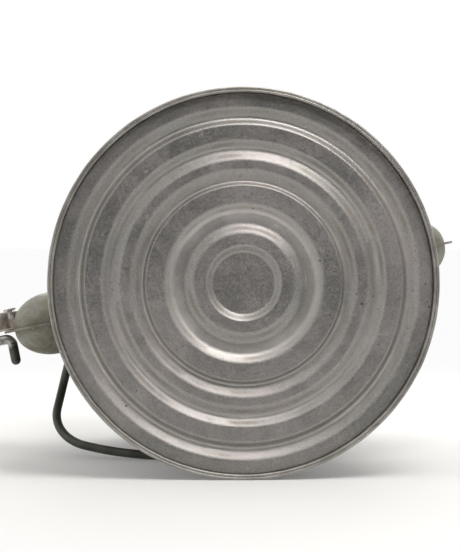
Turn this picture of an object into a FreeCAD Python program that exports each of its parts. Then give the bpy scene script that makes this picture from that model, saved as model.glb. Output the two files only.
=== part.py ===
"""Lidded milk pail in tinned steel: stamped bottom, tapered drum, hollow ears, wire bail, hinged lid and lid latch.

The pail stands on its foot hoop. +Z is up, the origin is the centre of the foot on the resting plane, the two
ears lie on the X axis, the lid's hinge is at +X and its latch at -X. Lengths are in millimetres.
"""

import FreeCAD, Part
import math
import os
import re
import Sketcher
from FreeCAD import Placement, Rotation, Vector

# ---------------------------------------------------------------- driving sizes
SIZES = {
    # sheet metal and fits
    "wall": 0.9,
    "plate": 1.3,
    "seat_gap": 0.1,
    "pin_gap": 0.05,
    "slack": 0.5,
    # foot hoop and stamped bottom
    "foot_radius": 115.0,
    "foot_width": 3.2,
    "foot_height": 11.0,
    "foot_round": 0.8,
    "hem_groove": 0.5,
    "pan_sheet": 0.8,
    "pan_level": 3.4,
    "pan_valley": 6.2,
    "pan_centre": 6.6,
    "pan_edge_height": 9.0,
    "pan_bend": 1.1,
    # drum
    "drum_low_radius": 108.0,
    "drum_low_height": 22.0,
    "neck_radius": 88.5,
    "neck_height": 160.0,
    "mouth_height": 236.0,
    "seam_width": 7.0,
    "seam_angle": 300.0,
    "curl_radius": 2.5,
    "curl_wire_radius": 1.6,
    # ears
    "ear_height": 123.5,
    "ear_centre": 115.0,
    "ear_reach": 25.2,
    "ear_radius": 19.0,
    "ear_fin": 5.1,
    "fin_sheet": 1.4,
    "ear_plate_half": 27.0,
    "ear_rivet_y": 23.0,
    "ear_rivet_z": 20.0,
    "rivet_radius": 1.8,
    "rivet_head": 3.6,
    "rivet_rise": 1.5,
    # bail
    "bail_wire_radius": 2.75,
    "bail_pivot_height": 190.0,
    "bail_pivot_span": 98.7,
    "bail_corner_span": 122.8,
    "bail_corner_reach": 96.8,
    "bail_reach": 140.7,
    "bail_lean": 8.0,
    "bail_splay": 2.5,
    "bail_corner_bend": 30.5,
    "bail_end_bend": 5.5,
    "bail_head_radius": 4.4,
    "bail_head_sheet": 1.6,
    "bail_drop": 44.0,
    "bracket_face": 93.8,
    "bracket_half": 17.0,
    "bracket_pocket": 7.2,
    "bracket_low": 181.0,
    "bracket_high": 201.0,
    # lid
    "lid_rim_radius": 94.5,
    "lid_rim_drop": 8.0,
    "lid_flat_radius": 84.0,
    "lid_step_radius": 79.0,
    "lid_step": 4.0,
    "lid_crown": 14.0,
    "crown_flat": 46.0,
    "crown_bend": 70.0,
    "collar_depth": 11.0,
    "collar_gap": 2.3,
    "handle_half": 38.0,
    "handle_rise": 27.0,
    "handle_foot": 12.0,
    "handle_grip": 24.0,
    "handle_shoulder": 8.0,
    "handle_bow": 40.0,
    "handle_width": 16.0,
    "handle_sheet": 2.0,
    # hinge
    "hinge_axis_x": 98.6,
    "hinge_axis_z": 231.5,
    "knuckle_radius": 3.3,
    "hinge_pin_radius": 2.0,
    "knuckle_half": 8.0,
    "hinge_half": 20.0,
    "hinge_foot": 20.0,
    # latch
    "latch_x": 142.0,
    "latch_z": 158.0,
    "lever_length": 55.6,
    "lever_width": 12.2,
    "lever_depth": 7.0,
    "lever_sheet": 1.2,
    "lever_tail": 9.0,
    "lever_nose": 5.0,
    "lever_gap": 0.3,
    "lug_radius": 6.0,
    "latch_pin_radius": 2.0,
    "hook_rod_radius": 3.2,
    "hook_side": 4.5,
    "hook_pin_length": 17.5,
    "hook_eye_radius": 6.0,
    "hook_eye_half": 2.5,
    "keeper_x": 100.0,
    "keeper_gap": 0.4,
    "keeper_low": 9.2,
    "keeper_high": 19.2,
}

# Where each slope of the stamped bottom starts and ends (radius), and the level it leads to.
BOTTOM_SLOPES = (
    ("button", 19.4, 22.8, "pan_level"),
    ("first_fall", 29.8, 34.6, "pan_valley"),
    ("first_rise", 43.4, 48.0, "pan_level"),
    ("crease_fall", 57.4, 59.6, "pan_valley"),
    ("crease_rise", 60.6, 68.0, "pan_level"),
    ("second_fall", 72.4, 77.4, "pan_valley"),
    ("second_rise", 79.6, 83.6, "pan_level"),
    ("third_fall", 94.0, 96.8, "pan_valley"),
    ("third_rise", 98.0, 104.0, "pan_level"),
)
for slope, inner, outer, _ in BOTTOM_SLOPES:
    SIZES[slope + "_start"] = inner
    SIZES[slope + "_end"] = outer

doc = FreeCAD.newDocument("MilkPail")
sheet = doc.addObject("Spreadsheet::Sheet", "Sizes")
for row, (alias, value) in enumerate(SIZES.items(), start=1):
    sheet.set(f"A{row}", alias)
    sheet.set(f"B{row}", str(value))
    sheet.setAlias(f"B{row}", alias)
doc.recompute()

# Sizes that follow from the driving ones, as expressions on the sheet.
SEAT_RADIUS = "(foot_radius - foot_width - seat_gap)"
CURL_CENTRE = "(neck_radius + curl_wire_radius)"
CURL_HEIGHT = "(mouth_height + curl_radius * 0.62)"
LID_TOP = "(mouth_height + curl_radius * 1.62 + slack + wall)"
HOOK_X = "(latch_x + lever_length)"
LEVER_INNER = "(0 - fin_sheet / 2 - lever_gap)"
KEEPER_Z = f"({LID_TOP} + plate + keeper_gap + hook_rod_radius)"
HOOK_LENGTH = f"(sqrt((latch_x - keeper_x)^2 + ({KEEPER_Z} - latch_z - lever_length)^2))"


def bind(text):
    """The expression with every size name led by the sheet's name."""
    return re.sub(r"[a-z][a-z_]+", lambda m: "Sizes." + m.group(0) if m.group(0) in SIZES else m.group(0), text)


def number(text):
    """The value of an expression on the sheet."""
    return float(sheet.evalExpression(bind(str(text))))


def drive(thing, **expressions):
    """Ties properties to the sheet; a double underscore stands for a dot."""
    for name, text in expressions.items():
        thing.setExpression(name.replace("__", "."), bind(str(text)))
    return thing


def place(thing, x="0", y="0", z="0", axis=None, angle=0.0):
    """Puts a thing at a point given by expressions, turned about an axis first."""
    if axis is not None:
        thing.Placement = Placement(Vector(), Rotation(Vector(*axis), angle))
    return drive(thing, Placement__Base__x=x, Placement__Base__y=y, Placement__Base__z=z)


# ---------------------------------------------------------------- primitives and booleans
def cylinder(name, radius, height, x="0", y="0", z="0", axis=None, angle=0.0):
    """A cylinder whose sizes and place are expressions."""
    made = drive(doc.addObject("Part::Cylinder", name), Radius=radius, Height=height)
    return place(made, x, y, z, axis, angle)


def cone(name, low, high, bottom, top):
    """A cone on the pail's axis between two heights."""
    made = drive(doc.addObject("Part::Cone", name), Radius1=low, Radius2=high, Height=f"{top} - ({bottom})")
    return place(made, z=bottom)


def block(name, low, high):
    """A box between two corners given by expressions."""
    made = doc.addObject("Part::Box", name)
    sides = [f"({b}) - ({a})" for a, b in zip(low, high)]
    drive(made, Length=sides[0], Width=sides[1], Height=sides[2])
    return place(made, *low)


def ring(name, centre, radius, z):
    """A torus on the pail's axis."""
    made = drive(doc.addObject("Part::Torus", name), Radius1=centre, Radius2=radius)
    return place(made, z=z)


def cut(name, base, tool):
    """One object less another."""
    made = doc.addObject("Part::Cut", name)
    made.Base, made.Tool = base, tool
    return made


def common(name, base, tool):
    """What two objects share."""
    made = doc.addObject("Part::Common", name)
    made.Base, made.Tool = base, tool
    return made


def fuse(name, *shapes):
    """Several objects as one."""
    made = doc.addObject("Part::MultiFuse", name)
    made.Shapes = list(shapes)
    return made


def group(name, *shapes):
    """Several separate solids in one node."""
    made = doc.addObject("Part::Compound", name)
    made.Links = list(shapes)
    return made


# ---------------------------------------------------------------- sketches
def outline(body, name, plane, corners):
    """A closed outline of lines and arcs: each corner is (across, up) or (across, up, radius) in expressions.

    A radius bends the side that follows the corner, left-handed when it is positive and right-handed when a
    minus sign leads it.
    """
    sketch = body.newObject("Sketcher::SketchObject", name)
    origin = next(f for f in body.Origin.OriginFeatures if f.Role == plane)
    sketch.AttachmentSupport = [(origin, "")]
    sketch.MapMode = "FlatFace"
    points = [Vector(number(c[0]), number(c[1]), 0) for c in corners]
    starts = []
    for i, corner in enumerate(corners):
        here, there = points[i], points[(i + 1) % len(points)]
        if len(corner) == 2:
            sketch.addGeometry(Part.LineSegment(here, there), False)
            starts.append((1, 2))
            continue
        radius = number(corner[2])
        chord = there - here
        left = Vector(-chord.y, chord.x, 0).normalize()
        rise = math.sqrt(max(radius * radius - (chord.Length / 2) ** 2, 0.0))
        centre = (here + there) * 0.5 + left * math.copysign(rise, radius)
        first, last = (here, there) if radius > 0 else (there, here)
        angles = [math.atan2(p.y - centre.y, p.x - centre.x) for p in (first, last)]
        circle = Part.Circle(centre, Vector(0, 0, 1), abs(radius))
        sketch.addGeometry(Part.ArcOfCircle(circle, *angles), False)
        starts.append((1, 2) if radius > 0 else (2, 1))
    for i in range(len(corners)):
        after = (i + 1) % len(corners)
        sketch.addConstraint(Sketcher.Constraint("Coincident", i, starts[i][1], after, starts[after][0]))
    for i, corner in enumerate(corners):
        for kind, text, value, axis in (
            ("DistanceX", corner[0], points[i].x, -2),
            ("DistanceY", corner[1], points[i].y, -1),
        ):
            if abs(value) < 1e-9:
                sketch.addConstraint(Sketcher.Constraint("PointOnObject", i, starts[i][0], axis))
                continue
            ends = (-1, 1, i, starts[i][0]) if value > 0 else (i, starts[i][0], -1, 1)
            index = sketch.addConstraint(Sketcher.Constraint(kind, *ends, abs(value)))
            sketch.setExpression(f"Constraints[{index}]", bind(text if value > 0 else f"0 - ({text})"))
        if len(corner) == 3:
            index = sketch.addConstraint(Sketcher.Constraint("Radius", i, abs(number(corner[2]))))
            sketch.setExpression(f"Constraints[{index}]", bind(f"abs({corner[2]})"))
    return sketch


def spun(label, corners):
    """A body of revolution about the pail's axis from an outline of (radius, height)."""
    body = doc.addObject("PartDesign::Body", label)
    sketch = outline(body, label + "_outline", "XZ_Plane", corners)
    spin = body.newObject("PartDesign::Revolution", label + "_spin")
    spin.Profile = sketch
    spin.ReferenceAxis = (sketch, ["V_Axis"])
    spin.Angle = 360.0
    return body


def pressed(label, plane, corners, start, thickness):
    """A body padded from an outline on one of its planes, from a start along that plane's own normal."""
    body = doc.addObject("PartDesign::Body", label)
    sketch = outline(body, label + "_outline", plane, corners)
    drive(sketch, AttachmentOffset__Base__z=start)
    pad = body.newObject("PartDesign::Pad", label + "_pad")
    pad.Profile = sketch
    drive(pad, Length=thickness)
    return body


# ---------------------------------------------------------------- rivets
def rivet(name, place_at, outward, inner, outer):
    """A round-headed rivet along an outward direction, its shank from the inner to the outer distance."""
    x, y, z = place_at
    spot = Placement(Vector(x, y, z), Rotation(Vector(0, 0, 1), Vector(*outward)))
    radius, head, rise = (number(t) for t in ("rivet_radius", "rivet_head", "rivet_rise"))
    shank = Part.makeCylinder(radius, outer - inner + rise, Vector(0, 0, inner - rise / 2))
    bulge = (head * head + rise * rise) / (2 * rise)
    ball = Part.makeSphere(bulge, Vector(0, 0, outer + rise - bulge))
    cap = ball.common(Part.makeCylinder(head, rise, Vector(0, 0, outer)))
    back = ball.mirror(Vector(0, 0, (inner + outer) / 2), Vector(0, 0, 1))
    foot = back.common(Part.makeCylinder(head, rise, Vector(0, 0, inner - rise)))
    made = doc.addObject("Part::Feature", name)
    made.Shape = shank.common(Part.makeCylinder(head, outer - inner + rise, Vector(0, 0, inner - rise / 2)))
    made.Shape = made.Shape.fuse([cap, foot]).removeSplitter()
    made.Placement = spot
    return made


def rivet_hole(name, place_at, outward, inner, outer):
    """What a rivet takes out of the sheets that it joins: its shank's hole and the seats of its two heads."""
    x, y, z = place_at
    turn = Rotation(Vector(0, 0, 1), Vector(*outward))
    tools = []
    for part, radius, start, end in (("shank", "rivet_radius", inner - 3.0, outer + 3.0),
                                     ("foot", "rivet_head + pin_gap", inner - 3.0, inner),
                                     ("cap", "rivet_head + pin_gap", outer, outer + 3.0)):
        tool = drive(doc.addObject("Part::Cylinder", f"{name}_{part}"), Radius=radius)
        tool.Height = end - start
        tool.Placement = Placement(Vector(x, y, z) + turn.multVec(Vector(0, 0, start)), turn)
        tools.append(tool)
    return fuse(name, *tools)


def drum_radius(height):
    """The drum's outer radius at a height."""
    low, neck = number("drum_low_height"), number("neck_height")
    if height >= neck:
        return number("neck_radius")
    share = (height - low) / (neck - low)
    return number("drum_low_radius") + (number("neck_radius") - number("drum_low_radius")) * share


# ---------------------------------------------------------------- foot, bottom and drum
def make_foot_hoop():
    """The rolled hoop that the pail stands on, with the fine groove of its folded hem."""
    inner, middle = "(foot_radius - foot_width)", "(foot_radius - foot_width / 2)"
    return spun("foot_hoop", (
        (inner, "foot_round", "foot_round"),
        (f"{inner} + foot_round", "0"),
        (f"{middle} - hem_groove", "0"),
        (middle, "hem_groove"),
        (f"{middle} + hem_groove", "0"),
        ("foot_radius - foot_round", "0", "foot_round"),
        ("foot_radius", "foot_round"),
        ("foot_radius", "foot_height - foot_round", "foot_round"),
        ("foot_radius - foot_round", "foot_height"),
        (inner, "foot_height"),
    ))


def make_bottom_pan():
    """The stamped bottom: flat rings at two levels joined by S-shaped slopes, and an upturned edge."""
    face, level = [("0", "pan_centre")], "pan_centre"
    for slope, _, _, target in BOTTOM_SLOPES:
        start, end = slope + "_start", slope + "_end"
        bend = f"(({end} - {start})^2 + ({target} - {level})^2) / (4 * abs({target} - {level}))"
        turn = "0 -" if number(target) < number(level) else "0 +"
        back = "0 +" if number(target) < number(level) else "0 -"
        face.append((start, level, f"{turn} {bend}"))
        face.append((f"({start} + {end}) / 2", f"({level} + {target}) / 2", f"{back} {bend}"))
        face.append((end, target))
        level = target
    edge = SEAT_RADIUS
    upper = [(c[0], f"{c[1]} + pan_sheet") for c in face]
    bends = [c[2] if len(c) == 3 else None for c in face]
    lower = face + [(f"{edge} - pan_bend", "pan_level", "pan_bend"), (edge, "pan_level + pan_bend")]
    rim = [(edge, "pan_edge_height"), (f"{edge} - pan_sheet", "pan_edge_height")]
    inside = [(f"{edge} - pan_sheet", "pan_level + pan_bend", "0 - (pan_bend - pan_sheet)")]
    inside.append((f"{edge} - pan_bend", "pan_level + pan_sheet"))
    back_way = []
    for i in range(len(upper) - 1, -1, -1):
        bend = bends[i - 1] if i > 0 else None
        if bend is None:
            back_way.append(upper[i])
        else:
            flipped = bend.replace("0 -", "0 +", 1) if bend.startswith("0 -") else bend.replace("0 +", "0 -", 1)
            back_way.append((*upper[i], flipped))
    return spun("bottom_pan", tuple(lower + rim + inside + back_way))


def make_drum():
    """The tapered drum with its flared foot and straight neck, drilled for every rivet."""
    shell = spun("drum_sheet", (
        (SEAT_RADIUS, "pan_edge_height + seat_gap"),
        ("drum_low_radius", "drum_low_height"),
        ("neck_radius", "neck_height"),
        ("neck_radius", "mouth_height"),
        ("neck_radius - wall", "mouth_height"),
        ("neck_radius - wall", "neck_height"),
        ("drum_low_radius - wall", "drum_low_height"),
        (f"{SEAT_RADIUS} - wall * 1.6", "pan_edge_height + seat_gap"),
    ))
    return shell


def make_side_seam():
    """The folded seam strip up the drum's taper."""
    outer = cone("seam_outer", "drum_low_radius + wall", "neck_radius + wall", "drum_low_height", "neck_height")
    inner = cone("seam_inner", "drum_low_radius", "neck_radius", "drum_low_height", "neck_height")
    strip = block("seam_strip", ("0", "0 - seam_width / 2", "drum_low_height + 2"),
                  ("foot_radius", "seam_width / 2", "neck_height - 2"))
    strip.Placement = Placement(Vector(), Rotation(Vector(0, 0, 1), number("seam_angle")))
    drive(strip, Placement__Base__x="seam_width / 2 * sin(seam_angle)",
          Placement__Base__y="0 - seam_width / 2 * cos(seam_angle)",
          Placement__Base__z="drum_low_height + 2", Placement__Rotation__Angle="seam_angle")
    return common("side_seam", cut("seam_sheet", outer, inner), strip)


def make_mouth():
    """The curled mouth, the wire that stiffens it and the seat that it takes out of the drum."""
    tube = ring("curl_outer", CURL_CENTRE, "curl_radius", CURL_HEIGHT)
    bore = ring("curl_bore", CURL_CENTRE, "curl_wire_radius + pin_gap", CURL_HEIGHT)
    seat = ring("curl_seat", CURL_CENTRE, "curl_radius + pin_gap", CURL_HEIGHT)
    return cut("mouth_curl", tube, bore), ring("mouth_wire", CURL_CENTRE, "curl_wire_radius", CURL_HEIGHT), seat


# ---------------------------------------------------------------- ears
def lobe(name, side, grow):
    """The solid of one ear: half an egg on a round stem along X, grown by an expression."""
    egg = drive(doc.addObject("Part::Ellipsoid", name + "_egg"), Radius1=f"ear_radius + ({grow})",
                Radius2=f"ear_reach + ({grow})", Radius3=f"ear_radius + ({grow})")
    place(egg, x=f"{side} * ear_centre", z="ear_height")
    stem = cylinder(name + "_stem", f"ear_radius + ({grow})", "ear_centre - neck_radius + 10",
                    x=f"{side} * ear_centre", z="ear_height", axis=(0, 1, 0), angle=-90.0 * side)
    return fuse(name, egg, stem)


def taper(name, grow):
    """The drum's taper as a solid cone grown by an expression."""
    return cone(name, f"drum_low_radius + {grow}", f"neck_radius + {grow}", "drum_low_height", "neck_height")


def ear_rivet_spots(side):
    """The four rivet places of an ear's saddle plate: a point on the drum and its outward direction."""
    spots = []
    for up in (-1, 1):
        for along in (-1, 1):
            height = number("ear_height") + up * number("ear_rivet_z")
            across = along * number("ear_rivet_y")
            radius = drum_radius(height)
            x = side * math.sqrt(radius * radius - across * across)
            spots.append(((x, across, height), (x, across, 0.0)))
    return spots


def make_ear(word, side):
    """One ear: saddle plate, seam web and two pressed half shells."""
    saddle_sheet = cut(f"saddle_{word}", taper(f"saddle_{word}_outer", "plate"), taper(f"saddle_{word}_inner", "0"))
    low, high = (f"{min(side * 200, side * 40)}", f"{max(side * 200, side * 40)}")
    window = block(f"saddle_{word}_window", (low, "0 - ear_plate_half", "ear_height - ear_plate_half"),
                   (high, "ear_plate_half", "ear_height + ear_plate_half"))
    saddle = common(f"saddle_{word}_blank", saddle_sheet, window)
    stop = taper(f"ear_{word}_stop", "plate + seat_gap")
    skin = cut(f"ear_{word}_skin", lobe(f"ear_{word}_lobe", side, "0"), lobe(f"ear_{word}_hollow", side, "0 - wall"))
    pressing = cut(f"ear_{word}_pressing", skin, stop)
    shells = []
    for name, low_y, high_y in (("front", "fin_sheet / 2", "40"), ("back", "0 - 40", "0 - fin_sheet / 2")):
        half = block(f"ear_{word}_{name}_half", (low, low_y, "0"), (high, high_y, "ear_height * 2"))
        shells.append(common(f"ear_shell_{word}_{name}", pressing, half))
    slab = block(f"web_{word}_slab", (low, "0 - fin_sheet / 2", "0"), (high, "fin_sheet / 2", "ear_height * 2"))
    web = common(f"web_{word}_blank", lobe(f"web_{word}_lobe", side, "ear_fin"), slab)
    if side < 0:
        lug = cylinder("lug_disc", "lug_radius", "fin_sheet", x="0 - latch_x", y="fin_sheet / 2", z="latch_z",
                       axis=(1, 0, 0), angle=90.0)
        neck = block("lug_neck", ("0 - latch_x - lug_radius * 0.55", "0 - fin_sheet / 2", "ear_height"),
                     ("0 - ear_centre - 4", "fin_sheet / 2", "latch_z"))
        web = fuse("web_left_with_lug", web, lug, neck)
    web = cut(f"ear_web_{word}_trim" if side < 0 else f"ear_web_{word}", web, stop)
    if side < 0:
        bore = cylinder("lug_bore", "latch_pin_radius", "20", x="0 - latch_x", y="10", z="latch_z",
                        axis=(1, 0, 0), angle=90.0)
        web = cut("ear_web_left", web, bore)
    return saddle, shells, web


# ---------------------------------------------------------------- bail
def bail_side(side):
    """The points of one side's bends, from its foot to the crown, as (foot bend, leg end, corner, crown start).

    The bail's crown is pushed over to -X by its lean, so one leg stands wider than the other. The leg beside the
    hinge is splayed out a little at its foot, so that it passes the hinge's knuckles.
    """
    lean, bend, end = number("bail_lean"), number("bail_corner_bend"), number("bail_end_bend")
    corner, top = Vector(number("bail_corner_span"), number("bail_corner_reach"), 0), number("bail_reach")
    arch = (corner.x ** 2 + (top - corner.y) ** 2) / (2 * (top - corner.y))
    arch_centre = Vector(0, top - arch, 0)
    splay = number("bail_splay") if side > 0 else 0.0
    foot = Vector(number("bail_pivot_span") + side * lean + splay, 0, 0)
    leg = (corner - foot).normalize()
    inward = Vector(-leg.y, leg.x, 0)
    # the corner's centre is one bend inside the leg, and an arch less a bend from the arch's centre
    base = foot + inward * bend - arch_centre
    reach = -base.dot(leg) + math.sqrt(base.dot(leg) ** 2 - base.dot(base) + (arch - bend) ** 2)
    centre = foot + inward * bend + leg * reach
    leg_end = centre - inward * bend
    arch_start = arch_centre + (centre - arch_centre).normalize() * arch
    corner_mid = centre + ((leg_end - centre) + (arch_start - centre)).normalize() * bend
    # the small bend from the pivot into the leg
    tangent = end * math.tan(math.acos(leg.x) / 2)
    bend_start, bend_end = foot - Vector(tangent, 0, 0), foot + leg * tangent
    bend_centre = bend_start + Vector(0, end, 0)
    bend_mid = bend_centre + ((bend_start - bend_centre) + (bend_end - bend_centre)).normalize() * end
    return [Vector(side * p.x - lean, p.y, 0)
            for p in (bend_start, bend_mid, bend_end, leg_end, corner_mid, arch_start)]


def bail_path():
    """The bail's centre line in its own plane: across is X, reach is Y."""
    inner = number("bracket_face - plate - slack / 2 - bail_head_sheet")
    right, left = bail_side(1), bail_side(-1)
    curves = [Part.LineSegment(Vector(inner, 0, 0), right[0]), Part.Arc(*right[0:3]),
              Part.LineSegment(right[2], right[3]), Part.Arc(*right[3:6]),
              Part.Arc(right[5], Vector(-number("bail_lean"), number("bail_reach"), 0), left[5]),
              Part.Arc(left[5], left[4], left[3]), Part.LineSegment(left[3], left[2]),
              Part.Arc(left[2], left[1], left[0]), Part.LineSegment(left[0], Vector(-inner, 0, 0))]
    return Part.Wire([curve.toShape() for curve in curves]), inner


def make_bail():
    """The wire bail, headed at both ends behind its brackets, hanging against the drum."""
    path, inner = bail_path()
    radius = number("bail_wire_radius")
    section = Part.Wire([Part.Circle(Vector(inner, 0, 0), Vector(1, 0, 0), radius).toShape()])
    wire = path.makePipeShell([section], True, False)
    heads = [Part.makeCylinder(number("bail_head_radius"), number("bail_head_sheet"),
                               Vector(side * inner, 0, 0), Vector(side, 0, 0)) for side in (-1, 1)]
    bail = doc.addObject("Part::Feature", "bail_wire")
    bail.Shape = wire.fuse(heads)
    bail.Placement = Placement(Vector(0, 0, number("bail_pivot_height")),
                               Rotation(Vector(1, 0, 0), -number("bail_drop")))
    print("bail volume", round(wire.Volume), "of", round(path.Length * math.pi * radius * radius))
    return bail


def bracket_rivet_spots(side):
    """The two rivet places of a bail bracket."""
    across = (number("bracket_half") + number("bracket_pocket") + 2.4) / 2
    radius = number("neck_radius")
    spots = []
    for along in (-1, 1):
        x = side * math.sqrt(radius * radius - across * across)
        spots.append(((x, along * across, number("bail_pivot_height")), (side, 0.0, 0.0)))
    return spots


def make_bail_bracket(word, side):
    """A pressed hat-shaped bracket on the neck, bored for the bail's end."""
    face, foot = f"{side} * bracket_face", f"{side} * (neck_radius + plate)"
    back, pocket = f"{side} * (neck_radius - 6)", f"{side} * (bracket_face - plate)"
    shoulder = "(bracket_pocket + plate)"
    corners = [(back, "bracket_half"), (foot, "bracket_half"), (foot, f"{shoulder} + 1"), (face, f"{shoulder} - 0.6"),
               (face, f"0.6 - {shoulder}"), (foot, f"0 - {shoulder} - 1"), (foot, "0 - bracket_half"),
               (back, "0 - bracket_half"), (back, "0 - bracket_pocket"), (pocket, "0 - bracket_pocket"),
               (pocket, "bracket_pocket"), (back, "bracket_pocket")]
    hat = pressed(f"bracket_{word}_hat", "XY_Plane", corners, "bracket_low", "bracket_high - bracket_low")
    neck = cylinder(f"bracket_{word}_neck", "neck_radius", "mouth_height - neck_height", z="neck_height")
    bore = cylinder(f"bracket_{word}_bore", "bail_wire_radius + pin_gap", "60", x=f"{side} * 60",
                    z="bail_pivot_height", axis=(0, 1, 0), angle=90.0 * side)
    return cut(f"bracket_{word}_blank", hat, fuse(f"bracket_{word}_tools", neck, bore))


# ---------------------------------------------------------------- lid
def make_lid():
    """The lid's crowned pan, its rim band and its collar."""
    rim, under = "(lid_rim_radius - wall - seat_gap)", f"({LID_TOP} - wall)"
    pan = spun("lid_pan_blank", (
        ("0", f"{under} + lid_crown"),
        ("crown_flat", f"{under} + lid_crown", "0 - crown_bend"),
        ("lid_step_radius", f"{under} + lid_step"),
        ("lid_flat_radius", under),
        (rim, under),
        (rim, LID_TOP),
        ("lid_flat_radius", LID_TOP),
        ("lid_step_radius", f"{LID_TOP} + lid_step", "crown_bend"),
        ("crown_flat", f"{LID_TOP} + lid_crown"),
        ("0", f"{LID_TOP} + lid_crown"),
    ))
    band = spun("lid_rim", (
        ("lid_rim_radius - wall", f"{LID_TOP} - lid_rim_drop"),
        ("lid_rim_radius", f"{LID_TOP} - lid_rim_drop"),
        ("lid_rim_radius", f"{LID_TOP} - wall", "wall"),
        ("lid_rim_radius - wall", LID_TOP),
    ))
    outer = "(neck_radius - wall - collar_gap)"
    collar = spun("lid_collar", (
        (f"{outer} - wall", f"{under} - seat_gap - collar_depth"),
        (outer, f"{under} - seat_gap - collar_depth"),
        (outer, f"{under} - seat_gap"),
        (f"{outer} - wall", f"{under} - seat_gap"),
    ))
    return pan, band, collar


def make_handle():
    """The lid's strap handle, riveted through both feet."""
    base = f"({LID_TOP} + lid_crown)"
    high, low = f"{base} + handle_rise - handle_shoulder", f"{base} + handle_sheet"
    inner_high = f"{high} - handle_sheet * 0.6"
    strap = pressed("handle_strap", "YZ_Plane", (
        ("0 - handle_half", base),
        ("0 - handle_half + handle_foot", base),
        ("0 - handle_grip + handle_sheet", inner_high, "0 - handle_bow"),
        ("handle_grip - handle_sheet", inner_high),
        ("handle_half - handle_foot", base),
        ("handle_half", base),
        ("handle_half", low),
        ("handle_half - handle_foot + handle_sheet / 2", low),
        ("handle_grip", high, "handle_bow + handle_sheet"),
        ("0 - handle_grip", high),
        ("0 - handle_half + handle_foot - handle_sheet / 2", low),
        ("0 - handle_half", low),
    ), "0 - handle_width / 2", "handle_width")
    spots = [((0.0, side * number("handle_half - handle_foot / 2"), 0.0), (0.0, 0.0, 1.0)) for side in (-1, 1)]
    return strap, spots, number(base)


def make_hinge():
    """The hinge: a bracket on the neck, a leaf on the lid, and the pin through their knuckles."""
    axis_x, axis_z, low = "hinge_axis_x", "hinge_axis_z", "(hinge_axis_z - knuckle_radius)"
    saddle = common("hinge_saddle", cylinder("hinge_saddle_round", "neck_radius + plate", "mouth_height"),
                    block("hinge_saddle_window", ("40", "0 - hinge_half", f"{low} - hinge_foot"),
                          ("200", "hinge_half", f"{low} + plate")))
    shelf = block("hinge_shelf", ("neck_radius - 9", "0 - hinge_half", low), (axis_x, "hinge_half", f"{low} + plate"))
    knuckles = cylinder("hinge_knuckles", "knuckle_radius", "hinge_half * 2", x=axis_x, y="hinge_half", z=axis_z,
                        axis=(1, 0, 0), angle=90.0)
    bore = cylinder("hinge_bore", "hinge_pin_radius + pin_gap", "hinge_half * 3", x=axis_x, y="hinge_half * 1.5",
                    z=axis_z, axis=(1, 0, 0), angle=90.0)
    notch = block("hinge_notch", ("bracket_face + 0.6", "0 - knuckle_half - slack / 2", f"{low} - 2"),
                  ("foot_radius", "knuckle_half + slack / 2", f"{axis_z} + knuckle_radius + 2"))
    neck = cylinder("hinge_neck", "neck_radius", "mouth_height")
    bracket = cut("hinge_blank", fuse("hinge_solid", saddle, shelf, knuckles), fuse("hinge_tools", neck, notch, bore))
    wing_in, wing_out = "(lid_rim_radius + slack + 0.3)", "(lid_rim_radius + slack + 0.3 + plate)"
    wing = block("leaf_wing", (wing_in, "0 - knuckle_half", axis_z), (wing_out, "knuckle_half", f"{LID_TOP} + plate"))
    top = block("leaf_top", ("lid_flat_radius + 1", "0 - knuckle_half", LID_TOP),
                (wing_out, "knuckle_half", f"{LID_TOP} + plate"))
    eye = cylinder("leaf_knuckle", "knuckle_radius", "knuckle_half * 2", x=axis_x, y="knuckle_half", z=axis_z,
                   axis=(1, 0, 0), angle=90.0)
    leaf = cut("hinge_leaf", fuse("leaf_solid", wing, top, eye), bore)
    pin = fuse("hinge_pin", cylinder("hinge_pin_shank", "hinge_pin_radius", "hinge_half * 2 + 1", x=axis_x,
                                     y="hinge_half + 0.5", z=axis_z, axis=(1, 0, 0), angle=90.0),
               cylinder("hinge_pin_head", "knuckle_radius - 0.4", "1.2", x=axis_x, y="hinge_half + 1.5",
                        z=axis_z, axis=(1, 0, 0), angle=90.0))
    height, across, radius = number(f"{low} - hinge_foot / 2"), number("hinge_half * 0.65"), number("neck_radius")
    x = math.sqrt(radius * radius - across * across)
    spots = [((x, side * across, height), (x, side * across, 0.0)) for side in (-1, 1)]
    return bracket, leaf, pin, spots


# ---------------------------------------------------------------- latch
def make_keeper():
    """The bent keeper soldered on the lid, whose lip holds the hook's pin."""
    top, lip = f"({LID_TOP} + plate)", "(keeper_x + hook_rod_radius + keeper_gap)"
    return pressed("latch_keeper", "XZ_Plane", (
        ("0 - lid_flat_radius - 1", LID_TOP),
        ("0 - lid_flat_radius - 1", top),
        (f"0 - {lip}", top),
        (f"0 - {lip}", f"{KEEPER_Z} + hook_rod_radius"),
        (f"0 - {lip} - plate", f"{KEEPER_Z} + hook_rod_radius"),
        (f"0 - {lip} - plate", LID_TOP),
    ), "0 - keeper_high", "keeper_high - keeper_low")


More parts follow.
